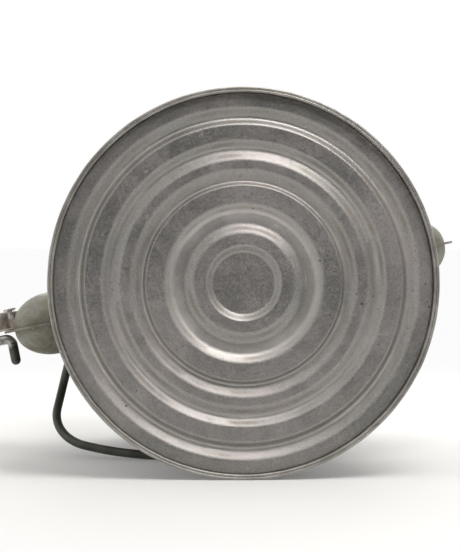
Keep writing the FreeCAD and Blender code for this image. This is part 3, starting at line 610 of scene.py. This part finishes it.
def strip(name: str, sections: Sequence[Sequence[Spot]], material: bpy.types.Material,
          smooth_angle: float = 35.0) -> bpy.types.Object:
    """Joins matching closed sections, in millimetres, into one closed bar with capped ends."""
    size = len(sections[0])
    verts = [(p[0] * MM, p[1] * MM, p[2] * MM) for section in sections for p in section]
    faces: list[tuple[int, ...]] = []
    for i in range(len(sections) - 1):
        for k in range(size):
            nxt = (k + 1) % size
            faces.append((i * size + k, i * size + nxt, (i + 1) * size + nxt, (i + 1) * size + k))
    faces.append(tuple(reversed(range(size))))
    faces.append(tuple(range((len(sections) - 1) * size, len(sections) * size)))
    made = mesh_object(name, verts, faces, material, smooth_angle)
    face_outward(made)
    return made


def join(name: str, pieces: Sequence[bpy.types.Object]) -> bpy.types.Object:
    """Joins several objects into the first, under a new name."""
    bpy.ops.object.select_all(action="DESELECT")
    for piece in pieces:
        piece.select_set(True)
    bpy.context.view_layer.objects.active = pieces[0]
    bpy.ops.object.join()
    pieces[0].name = name
    pieces[0].data.name = name
    return pieces[0]


def dents(amount: float, size: float, seed: float) -> Callable[[Spot], Spot]:
    """A gentle unevenness of sheet metal.

    Args:
        amount: how far a point may move, in millimetres.
        size: how wide the dents are, in millimetres.
        seed: which pattern.

    Returns:
        A function that moves a point.
    """

    def move(spot: Spot) -> Spot:
        """Moves one point along its radius and height."""
        where = Vector(spot) / size
        shift = noise.noise(where + Vector((seed, 0.0, 0.0)))
        lift = noise.noise(where + Vector((0.0, seed + 7.0, 0.0)))
        flat = math.hypot(spot[0], spot[1])
        if flat < 1e-6:
            return (spot[0], spot[1], spot[2] + lift * amount)
        grow = 1.0 + shift * amount / max(flat, 20.0)
        return (spot[0] * grow, spot[1] * grow, spot[2] + lift * amount)

    return move


def settle(piece: bpy.types.Object, body: str, slot: str, nodes: Iterable[str] = ()) -> None:
    """Rides a piece on its body, logs its slot and hides the nodes it stands for.

    Args:
        piece: the finished piece.
        body: the body it moves with.
        slot: the record's material slot.
        nodes: CAD nodes it replaces.
    """
    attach(piece, body)
    names = tuple(nodes)
    if names:
        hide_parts(*names)
    LOG.info("%s rides on %s, slot %s, for %s", piece.name, body, slot, ", ".join(names) or "nothing")


# ------------------------------------------------------------------ sub-assemblies


@dataclass
class Finishes:
    """Every finish, made once."""

    bottom: bpy.types.Material
    tin: bpy.types.Material
    hoop: bpy.types.Material
    tarnish: bpy.types.Material
    wire: bpy.types.Material
    rod: bpy.types.Material
    lever: bpy.types.Material


@dataclass
class Bottom:
    """The stamped bottom pan and the foot hoop. Sizes are in millimetres."""

    hoop_outer: float = 115.0
    hoop_width: float = 3.2
    hoop_height: float = 11.0
    hoop_round: float = 0.8
    hem_round: float = 0.75
    hem_share: float = 0.52
    pan_edge: float = 111.7
    pan_edge_height: float = 9.6
    sheet: float = 0.8
    bend: float = 1.1
    step: float = 0.4
    centre_level: float = 7.1
    slopes: tuple[tuple[float, float, float], ...] = (
        (17.6, 22.9, 3.8), (28.4, 36.0, 6.9), (40.5, 48.2, 3.8), (57.2, 60.0, 6.9), (60.4, 68.2, 3.8),
        (71.6, 78.6, 6.9), (78.8, 85.0, 3.8), (92.6, 97.2, 6.9), (97.4, 104.8, 3.8))

    def level(self, radius: float) -> float:
        """The underside's height at a radius."""
        height = self.centre_level
        for start, end, target in self.slopes:
            if radius <= start:
                return height
            if radius < end:
                t = (radius - start) / (end - start)
                return height + (target - height) * t * t * (3 - 2 * t)
            height = target
        return height

    def profile(self) -> list[Point]:
        """The pan's outline from the underside's centre round its edge to the top's centre."""
        bend, step = self.bend, self.step
        count = int((self.pan_edge - bend) / step)
        face = [(i * step, self.level(i * step)) for i in range(count + 1)]
        low = self.level(self.pan_edge)
        edge = arc((self.pan_edge - bend, low + bend), bend, -90.0, 0.0, 6)
        lip = [(self.pan_edge, self.pan_edge_height), (self.pan_edge - self.sheet, self.pan_edge_height)]
        inside = arc((self.pan_edge - bend, low + bend), bend - self.sheet, 0.0, -90.0, 3)
        top = [(r, z + self.sheet) for r, z in reversed(face)]
        return face + edge + lip + inside + top

    def hoop_profile(self) -> list[Point]:
        """The hoop's outline: a folded hem with a fine groove between its layers."""
        inner, middle = self.hoop_outer - self.hoop_width, self.hoop_outer - self.hoop_width * self.hem_share
        hem, edge = self.hem_round, self.hoop_round
        turns = (((inner + hem, hem), hem, 180.0, 275.0, 6), ((middle - hem, hem), hem, 265.0, 350.0, 6),
                 ((middle + hem, hem), hem, 190.0, 270.0, 6), ((self.hoop_outer - edge, edge), edge, 270.0, 360.0, 6),
                 ((self.hoop_outer - edge, self.hoop_height - edge), edge, 0.0, 90.0, 5))
        return [point for turn in turns for point in arc(*turn)] + [(inner, self.hoop_height)]

    def build(self, finishes: Finishes) -> None:
        """Makes and dresses the pan and the hoop."""
        pan = spun("bottom_sheet", self.profile(), finishes.bottom, sides=384, ripple=dents(0.16, 26.0, 3.0),
                   smooth_angle=60.0)
        settle(pan, "pail", "tinned_steel", ("bottom_pan",))
        hoop = spun("foot_rim", self.hoop_profile(), finishes.hoop, closed=True, sides=512,
                    ripple=dents(0.10, 9.0, 11.0), smooth_angle=50.0)
        settle(hoop, "pail", "worn_hoop", ("foot_hoop",))


@dataclass
class Drum:
    """The tapered drum, its curled mouth and its seam. Sizes are in millimetres."""

    seat_radius: float = 111.7
    seat_height: float = 9.1
    low: Point = (108.0, 22.0)
    neck_radius: float = 88.5
    neck_height: float = 160.0
    mouth_height: float = 236.0
    wall: float = 0.9

    def build(self, finishes: Finishes) -> None:
        """Makes and dresses the drum; the curl and the seam keep their own shapes."""
        outer = rounded([(self.seat_radius, self.seat_height), self.low, (self.neck_radius, self.neck_height),
                         (self.neck_radius, self.mouth_height)], 14.0, 10, closed=False)
        fine: list[Point] = []
        for (r0, z0), (r1, z1) in zip(outer, outer[1:]):
            parts = max(1, int(math.hypot(r1 - r0, z1 - z0) / 6.0))
            fine += [(r0 + (r1 - r0) * k / parts, z0 + (z1 - z0) * k / parts) for k in range(parts)]
        fine.append(outer[-1])
        inner = [(r - self.wall, z) for r, z in reversed(fine)]
        drum = spun("drum_sheet", fine + inner, finishes.tin, closed=True, sides=256,
                    ripple=dents(0.12, 34.0, 5.0))
        settle(drum, "pail", "tinned_steel", ("body_drum",))


@dataclass
class Ears:
    """The two hollow ears: pressed half shells either side of a seam web. Sizes are in millimetres."""

    height: float = 123.5
    centre: float = 115.0
    reach: float = 25.2
    radius: float = 19.0
    wall: float = 0.9
    root_share: float = 0.35
    tip_power: float = 0.92
    wave_height: float = 0.35
    wave_scale: float = 0.11
    seam_half: float = 0.7
    drum_low: Point = (108.0, 22.0)
    drum_high: Point = (88.5, 160.0)
    plate: float = 1.4

    def drum_radius(self, z: float) -> float:
        """The radius on which an ear's shell ends, at a height."""
        (r0, z0), (r1, z1) = self.drum_low, self.drum_high
        return r0 + (r1 - r0) * (z - z0) / (z1 - z0) + self.plate

    def skin_point(self, side: Side, face: int, shrink: float, share: float, turn: float) -> Spot:
        """A point of a half shell's outer or inner skin, in metres.

        Args:
            side: which ear.
            face: 1 for the half towards +Y, -1 for the other.
            shrink: how far inside the outer skin it lies.
            share: how far along the ear it lies, from 0 at the drum to 1 at the tip.
            turn: its angle round the ear, from 0 at the top to pi at the bottom.

        Returns:
            The point.
        """
        lean = max(share - self.root_share, 0.0) / (1.0 - self.root_share) * math.pi / 2
        bulge = (self.radius - shrink) * max(math.cos(lean), 0.0) ** self.tip_power
        y, z = bulge * math.sin(turn), self.height + bulge * math.cos(turn)
        wave = noise.noise(Vector((side.value * 3.0 + share * 4.0, y * self.wave_scale, z * self.wave_scale)))
        y = max(y + self.wave_height * wave * math.sin(turn), 0.0)
        x = self.centre + (self.reach - shrink) * math.sin(lean)
        if share < self.root_share:
            root = math.sqrt(max(self.drum_radius(z) ** 2 - y * y, 1.0))
            x = root + (self.centre - root) * (share / self.root_share)
        return (side.value * x * MM, face * (y + self.seam_half) * MM, z * MM)

    def half_shell(self, name: str, side: Side, face: int, material: bpy.types.Material) -> bpy.types.Object:
        """Makes one half shell.

        Args:
            name: the piece's name.
            side: which ear.
            face: 1 for the half towards +Y, -1 for the other.
            material: its finish.

        Returns:
            The half shell.
        """
        around, along = 40, 34
        verts = [self.skin_point(side, face, shrink, i / along, math.pi * k / around)
                 for shrink in (0.0, self.wall) for i in range(along + 1) for k in range(around + 1)]
        width = around + 1
        offset = (along + 1) * width
        faces: list[tuple[int, ...]] = []
        for i in range(along):
            for k in range(around):
                a, b = i * width + k, i * width + k + 1
                c, d = (i + 1) * width + k + 1, (i + 1) * width + k
                faces.append((a, b, c, d))
                faces.append((a + offset, d + offset, c + offset, b + offset))
        for i in range(along):
            for k in (0, around):
                a, d = i * width + k, (i + 1) * width + k
                faces.append((a, d, d + offset, a + offset))
        faces += [(k, k + 1, k + 1 + offset, k + offset) for k in range(around)]
        shell = mesh_object(name, verts, faces, material, 50.0)
        self._weld(shell)
        face_outward(shell)
        return shell

    @staticmethod
    def _weld(piece: bpy.types.Object) -> None:
        """Merges the points that meet at the ear's tip."""
        work = bmesh.new()
        work.from_mesh(piece.data)
        bmesh.ops.remove_doubles(work, verts=work.verts, dist=0.02 * MM)
        work.to_mesh(piece.data)
        work.free()

    def build(self, finishes: Finishes) -> None:
        """Makes and dresses all four half shells."""
        for side in Side:
            word = side.name.lower()
            for name, face in (("front", 1), ("back", -1)):
                shell = self.half_shell(f"ear_{word}_{name}_pressing", side, face, finishes.tarnish)
                settle(shell, "pail", "tarnished_tin", (f"ear_shell_{word}_{name}",))


@dataclass
class Bail:
    """The wire bail in its own tilted plane. Sizes are in millimetres."""

    wire_radius: float = 2.75
    pivot_height: float = 190.0
    span: float = 98.7
    corner: Point = (122.8, 96.8)
    reach: float = 140.7
    lean: float = 8.0
    splay: float = 2.5
    corner_bend: float = 30.5
    end_bend: float = 5.5
    inner_end: float = 90.65
    head_radius: float = 4.4
    head_sheet: float = 1.6
    drop: float = 44.0

    def half_line(self, side: Side) -> list[Point]:
        """One side of the bail's centre line, from its headed end to the middle of its crown.

        Args:
            side: which side; the crown leans to the left, and the right leg's foot is splayed past the hinge.

        Returns:
            Points of the bail's own plane, as (across, reach).
        """
        corner = Vector(self.corner)
        arch = (corner.x ** 2 + (self.reach - corner.y) ** 2) / (2 * (self.reach - corner.y))
        arch_centre = Vector((0.0, self.reach - arch))
        shift = side.value * self.lean
        foot = Vector((self.span + shift + (self.splay if side is Side.RIGHT else 0.0), 0.0))
        leg = (corner - foot).normalized()
        inward = Vector((-leg.y, leg.x))
        base = foot + inward * self.corner_bend - arch_centre
        ahead = -base.dot(leg) + math.sqrt(base.dot(leg) ** 2 - base.dot(base) + (arch - self.corner_bend) ** 2)
        centre = foot + inward * self.corner_bend + leg * ahead
        start_turn = math.degrees(math.atan2(-inward.y, -inward.x))
        away = centre - arch_centre
        end_turn = math.degrees(math.atan2(away.y, away.x))
        bend = arc((centre.x, centre.y), self.corner_bend, start_turn, end_turn, 20)
        crown = arc((arch_centre.x, arch_centre.y), arch, end_turn, 90.0, 24)
        turn = math.acos(leg.x)
        tangent = self.end_bend * math.tan(turn / 2)
        knee = arc((foot.x - tangent, self.end_bend), self.end_bend, -90.0, -90.0 + math.degrees(turn), 8)
        leg_line = [Vector(knee[-1]).lerp(Vector(bend[0]), k / 12) for k in range(1, 12)]
        start = [(self.inner_end + self.head_sheet * 0.5 + shift, 0.0)]
        chain = start + knee + [(p.x, p.y) for p in leg_line] + bend + crown[1:]
        return [(side.value * across - self.lean, reach) for across, reach in chain]

    def place(self, point: Point) -> Spot:
        """Where a point of the bail's plane lies at rest."""
        tilt = math.radians(self.drop)
        return (point[0], point[1] * math.cos(tilt), self.pivot_height - point[1] * math.sin(tilt))

    def build(self, finishes: Finishes) -> None:
        """Makes and dresses the bail."""
        line = self.half_line(Side.RIGHT) + self.half_line(Side.LEFT)[-2::-1]
        wire = tube("bail_bar", [self.place(p) for p in line], self.wire_radius, finishes.wire, 28)
        heads = [self.head(side, finishes.wire) for side in Side]
        settle(join("bail_bar", [wire, *heads]), "bail", "dark_wire", ("bail_wire",))

    def head(self, side: Side, material: bpy.types.Material) -> bpy.types.Object:
        """One upset head behind its bracket."""
        x0, x1 = self.inner_end, self.inner_end + self.head_sheet
        ring = rounded([(0.4, x0), (self.head_radius, x0), (self.head_radius, x1), (0.4, x1)], 0.5, 3, closed=False)
        chain = [(0.0, x0), *ring, (0.0, x1)]
        made = spun(f"bail_head_{side.name.lower()}", chain, material, sides=32)
        turn = Matrix.Rotation(math.radians(90.0 * side.value), 4, "Y")
        made.data.transform(Matrix.Translation((0.0, 0.0, self.pivot_height * MM)) @ turn)
        return made


@dataclass
class Lid:
    """The crowned lid, its rim band, collar and strap handle. Sizes are in millimetres."""

    top: float = 241.45
    wall: float = 0.9
    rim_radius: float = 94.5
    rim_drop: float = 8.0
    flat_radius: float = 84.0
    step_radius: float = 79.0
    step: float = 4.0
    crown: float = 14.0
    crown_flat: float = 46.0
    crown_bend: float = 70.0
    collar_outer: float = 85.3
    collar_low: float = 229.4

    def outline(self, lift: float) -> list[Point]:
        """The lid's face from its centre to its edge, lifted by a thickness."""
        base = self.top - self.wall + lift
        chord_start, chord_end = Vector((self.crown_flat, self.crown)), Vector((self.step_radius, self.step))
        middle, chord = (chord_start + chord_end) / 2, chord_end - chord_start
        side = Vector((chord.y, -chord.x)).normalized()
        centre = middle + side * math.sqrt(self.crown_bend ** 2 - (chord.length / 2) ** 2)
        angles = [math.degrees(math.atan2(p.y - centre.y, p.x - centre.x)) for p in (chord_start, chord_end)]
        dome = [(r, base + z) for r, z in arc((centre.x, centre.y), self.crown_bend, *angles, 14)]
        flat = [(self.crown_flat * k / 6, base + self.crown) for k in range(6)]
        foot = rounded([dome[-1], (self.flat_radius, base), (self.rim_radius - self.wall - 0.1, base)], 1.6, 5,
                       closed=False)
        return flat + dome + foot[1:]

    def build(self, finishes: Finishes) -> None:
        """Makes and dresses the lid's pressings."""
        chain = self.outline(0.0) + list(reversed(self.outline(self.wall)))
        pan = spun("lid_pressing", chain, finishes.tin, sides=256, ripple=dents(0.14, 30.0, 8.0), smooth_angle=55.0)
        settle(pan, "lid", "tinned_steel", ("lid_pan",))
        inner = self.rim_radius - self.wall
        band = rounded([(inner, self.top - self.rim_drop), (self.rim_radius, self.top - self.rim_drop),
                        (self.rim_radius, self.top), (inner, self.top)], 0.42, 4)
        rim = spun("lid_band", band, finishes.tin, closed=True, sides=256, smooth_angle=60.0)
        settle(rim, "lid", "tinned_steel", ("lid_rim",))
        high = self.top - self.wall - 0.1
        plug = rounded([(self.collar_outer - self.wall, self.collar_low), (self.collar_outer, self.collar_low),
                        (self.collar_outer, high), (self.collar_outer - self.wall, high)], 0.3, 3)
        collar = spun("lid_plug", plug, finishes.tin, closed=True, sides=256, smooth_angle=60.0)
        settle(collar, "lid", "tinned_steel", ("lid_collar",))


@dataclass
class Latch:
    """The latch lever, its hook and their places. Sizes are in millimetres."""

    lug_x: float = 142.0
    height: float = 158.0
    length: float = 55.6
    tail: float = 9.0
    nose: float = 5.0
    inner: float = -1.0
    width: float = 12.2
    depth: float = 7.0
    sheet: float = 1.2
    rod_radius: float = 3.2
    rod_side: float = 4.5
    rod_length: float = 53.31
    pin_length: float = 17.5
    eye_radius: float = 6.0
    eye_half: float = 2.5
    bore: float = 2.06
    steps: int = 24
    end_draw: float = 1.6
    end_steps: float = 2.2

    def channel(self, x: float, shrink: float) -> list[Spot]:
        """The lever's section at a place along it, drawn in by a shrinkage."""
        low, high = self.height - self.depth / 2 + shrink, self.height + self.depth / 2 - shrink * 0.5
        inner, outer, sheet = self.inner - shrink * 0.4, self.inner - self.width + shrink * 0.4, self.sheet
        corners = [(outer, low), (outer + sheet, low), (outer + sheet, high - sheet), (inner - sheet, high - sheet),
                   (inner - sheet, low), (inner, low), (inner, high), (outer, high)]
        return [(x, y, z) for y, z in rounded(corners, 0.5, 3)]

    def build(self, finishes: Finishes) -> None:
        """Makes and dresses the lever and the hook."""
        start, end = -(self.lug_x + self.length + self.tail), -(self.lug_x - self.nose)
        sections = []
        for k in range(self.steps + 1):
            share = k / self.steps
            edge = min(share, 1 - share) * self.steps
            shrink = self.end_draw * max(0.0, 1.0 - edge / self.end_steps) ** 2
            sections.append(self.channel(start + (end - start) * share, shrink))
        lever = strip("lever_channel", sections, finishes.lever)
        settle(lever, "lever", "latch_steel", ("latch_lever",))
        settle(self.hook(finishes.rod), "hook", "hook_steel", ("latch_hook",))

    def hook(self, material: bpy.types.Material) -> bpy.types.Object:
        """The hook's eye, rod and bent pin end."""
        start = -(self.lug_x + self.length)
        bend = self.rod_radius * 1.3
        corner = (start + self.rod_length, self.rod_side)
        turn = arc((corner[0] - bend, corner[1] + bend), bend, -90.0, 0.0, 8)
        tip = (corner[0], corner[1] + self.pin_length - self.rod_radius)
        near = (start + self.eye_radius * 0.8, self.rod_side)
        straight = [(near[0] + (turn[0][0] - near[0]) * k / 8, self.rod_side) for k in range(8)]
        line = [(x, y, self.height) for x, y in [*straight, *turn, tip]]
        rod = tube("hook_rod", line, self.rod_radius, material, 28)
        outline = rounded([(self.bore, -self.eye_half), (self.eye_radius, -self.eye_half),
                           (self.eye_radius, self.eye_half), (self.bore, self.eye_half)], 0.8, 4)
        eye = spun("hook_eye", outline, material, closed=True, sides=40)
        eye.data.transform(Matrix.Translation((start * MM, self.rod_side * MM, self.height * MM))
                           @ Matrix.Rotation(math.radians(90.0), 4, "X"))
        return join("hook_rod", [rod, eye])


@dataclass
class Fittings:
    """CAD nodes that keep their shape and take a finish."""

    tin: tuple[str, ...] = ("side_seam", "mouth_curl")
    tarnish: tuple[str, ...] = ("ear_plate_left", "ear_plate_right", "ear_web_left", "ear_web_right",
                                "bail_bracket_left", "bail_bracket_right", "hinge_bracket", "hinge_leaf",
                                "lid_handle", "ear_rivets_left", "ear_rivets_right", "bracket_rivets_left",
                                "bracket_rivets_right", "hinge_rivets", "handle_rivets")
    lever: tuple[str, ...] = ("latch_keeper", "latch_rivet", "hook_rivet")
    wire: tuple[str, ...] = ("mouth_wire", "hinge_pin")

    def build(self, nodes: dict[str, bpy.types.Object], finishes: Finishes) -> None:
        """Gives each node its finish."""
        for names, material in ((self.tin, finishes.tin), (self.tarnish, finishes.tarnish),
                                (self.lever, finishes.lever), (self.wire, finishes.wire)):
            for name in names:
                for slot in nodes[name].material_slots:
                    slot.material = material
                LOG.info("%s keeps its shape in %s", name, material.name)


# ------------------------------------------------------------------ studio


@dataclass
class Studio:
    """Camera, light and paper. The pail is seen from below, as when it lies on its side. Sizes in millimetres."""

    tilt: float = 11.5
    camera_right: float = -92.9
    camera_down: float = 25.8
    distance: float = 1300.0
    lens: float = 145.65
    sensor: float = 36.0
    focal: float = 2233.4
    centre_right: float = 14.6
    centre_down: float = 6.9
    foot_radius: float = 115.0
    wire_down: float = 109.4
    wire_height: float = 92.0
    key_size: float = 560.0
    key_power: float = 7.5
    key_colour: Colour = (1.0, 0.975, 0.965)
    top_size: float = 900.0
    top_power: float = 9.0
    dark_lean: float = 0.22
    dark_span: Point = (-0.94, -0.25)
    surround_span: Point = (0.02, 1.05)
    surround_colour: tuple[float, float, float, float] = (1.0, 0.985, 0.97, 1.0)
    paper_half: float = 2600.0
    paper_near: float = 500.0
    paper_far: float = 5200.0
    floor_half: float = 3000.0
    floor_drop: float = 0.5

    def axes(self) -> tuple[Vector, Vector, Vector]:
        """The view's right, down and forward directions in the pail's frame."""
        a = math.radians(self.tilt)
        return Vector((math.cos(a), math.sin(a), 0.0)), Vector((-math.sin(a), math.cos(a), 0.0)), Vector((0, 0, 1))

    def camera(self) -> None:
        """Sets up the camera."""
        right, down, ahead = self.axes()
        eye = right * self.camera_right + down * self.camera_down - ahead * self.distance
        aim = -eye.normalized()
        side = down.cross(aim).normalized() if down.cross(aim).dot(right) > 0 else -down.cross(aim).normalized()
        below = aim.cross(side)
        aim = (aim - side * (self.centre_right / self.focal) - below * (self.centre_down / self.focal)).normalized()
        side = (side - aim * side.dot(aim)).normalized()
        up = side.cross(aim)
        data = bpy.data.cameras.new("studio_camera")
        data.lens = self.lens
        data.sensor_width = self.sensor
        data.clip_end = 20.0
        camera = bpy.data.objects.new("studio_camera", data)
        bpy.context.scene.collection.objects.link(camera)
        turn = Matrix((side, up, -aim)).transposed().to_4x4()
        camera.matrix_world = Matrix.Translation(eye * MM) @ turn
        bpy.context.scene.camera = camera

    def lamp(self, name: str, spot: Vector, target: Vector, size: float, power: float, colour: Colour) -> None:
        """Adds one soft area lamp.

        Args:
            name: the lamp's name.
            spot: where it stands, in millimetres.
            target: what it points at.
            size: its side.
            power: its power in watts.
            colour: its colour.
        """
        data = bpy.data.lights.new(name, "AREA")
        data.shape = "SQUARE"
        data.size = size * MM
        data.energy = power
        data.color = colour
        lamp = bpy.data.objects.new(name, data)
        lamp.location = spot * MM
        lamp.rotation_euler = (target - spot).to_track_quat("-Z", "Y").to_euler()
        bpy.context.scene.collection.objects.link(lamp)

    def lights(self) -> None:
        """A white surround and two soft lamps."""
        right, down, ahead = self.axes()
        target = Vector((0.0, 0.0, 60.0))
        self.lamp("key", down * -900 + right * 300 - ahead * 480, target, self.key_size, self.key_power,
                  self.key_colour)
        self.lamp("top", Vector((300.0, -700.0, 1100.0)), Vector((0.0, 0.0, 150.0)), self.top_size,
                  self.top_power, (1.0, 1.0, 1.0))
        self.world()

    def world(self) -> None:
        """A surround that the camera sees as white, and that lights the pail from all but near its bottom."""
        right, _, ahead = self.axes()
        away = (ahead - right * self.dark_lean).normalized()
        world = bpy.data.worlds.new("studio_world")
        bpy.context.scene.world = world
        g = Graph(world)
        way = g.node("ShaderNodeTexCoord", result="Generated")
        lean = g.node("ShaderNodeVectorMath", {"operation": "DOT_PRODUCT"}, {0: way, 1: away}, "Value")
        dark, full = self.dark_span
        low, high = self.surround_span
        strength = g.node("ShaderNodeMapRange", {"interpolation_type": "SMOOTHSTEP"},
                          {"Value": lean, "From Min": dark, "From Max": full, "To Min": low, "To Max": high})
        given = g.node("ShaderNodeBackground", sockets={"Color": self.surround_colour, "Strength": strength})
        seen = g.node("ShaderNodeBackground", sockets={"Color": (1.0, 1.0, 1.0, 1.0)})
        direct = g.node("ShaderNodeLightPath", result="Is Camera Ray")
        g.node_end(g.node("ShaderNodeMixShader", sockets={0: direct, 1: given, 2: seen}), "ShaderNodeOutputWorld")

    def paper(self) -> None:
        """The sheet that the pail lies on in the main view, and a plain floor for every view from above."""
        _, down, ahead = self.axes()
        slope = (self.foot_radius - self.wire_down) / self.wire_height
        along = (ahead - down * slope).normalized()
        normal = -(down + ahead * slope).normalized()
        side = along.cross(normal).normalized()
        start = down * self.foot_radius
        material = Paper().make()
        wide, near, far = self.paper_half, self.paper_near, self.paper_far
        corners = [start - side * wide - along * near, start + side * wide - along * near,
                   start + side * wide + along * far, start - side * wide + along * far]
        lying = mesh_object("lying_paper", [tuple(c * MM) for c in corners], [(0, 1, 2, 3)], material)
        if lying.data.polygons[0].normal.dot(normal) < 0:
            lying.data.flip_normals()
        size = self.floor_half * MM
        floor = mesh_object("floor_paper", [(-size, -size, 0.0), (size, -size, 0.0), (size, size, 0.0),
                                            (-size, size, 0.0)], [(0, 1, 2, 3)], material)
        floor.visible_shadow = False
        floor.visible_diffuse = False
        floor.visible_glossy = False
        floor.location.z = -self.floor_drop * MM

    def build(self) -> None:
        """Sets up the whole studio."""
        self.camera()
        self.lights()
        self.paper()
        bpy.context.scene.view_settings.view_transform = "Standard"


def main() -> None:
    """Builds every sub-assembly in order."""
    logging.basicConfig(level=logging.INFO, format="%(name)s: %(message)s")
    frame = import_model()
    bottom = Bottom()
    creases = tuple((start + end) / 2 for start, end, _ in bottom.slopes)
    finishes = Finishes(
        # The bottom's pale rings at the ring edges are worn tin and painted highlight.
        bottom=WornTin("worn_bottom", crease_radii=creases, pit_patch=(84.0, 34.0, 62.0),
                        wear_and_highlight_rings=((41.0, 7.5), (60.2, 2.4), (78.8, 2.4), (97.2, 2.6))).make(),
        tin=WornTin("worn_sheet", bright=(0.265, 0.25, 0.24), dull=(0.18, 0.177, 0.168),
                    stain=(0.40, 0.385, 0.355)).make(),
        hoop=WornHoop().make(), tarnish=Tarnish().make(),
        # The hook's rod is pale round the pin's bend: worn steel and painted highlight.
        wire=DarkSteel().make(), rod=DarkSteel("dark_rod", wear_and_highlight_spot=(-147.0, 3.0, 158.0, 9.0)).make(),
        lever=LeverSteel().make())
    bottom.build(finishes)
    for assembly in (Drum(), Ears(), Bail(), Lid(), Latch()):
        assembly.build(finishes)
    Fittings().build(frame["nodes"], finishes)
    Studio().build()


if __name__ == "__main__":
    main()
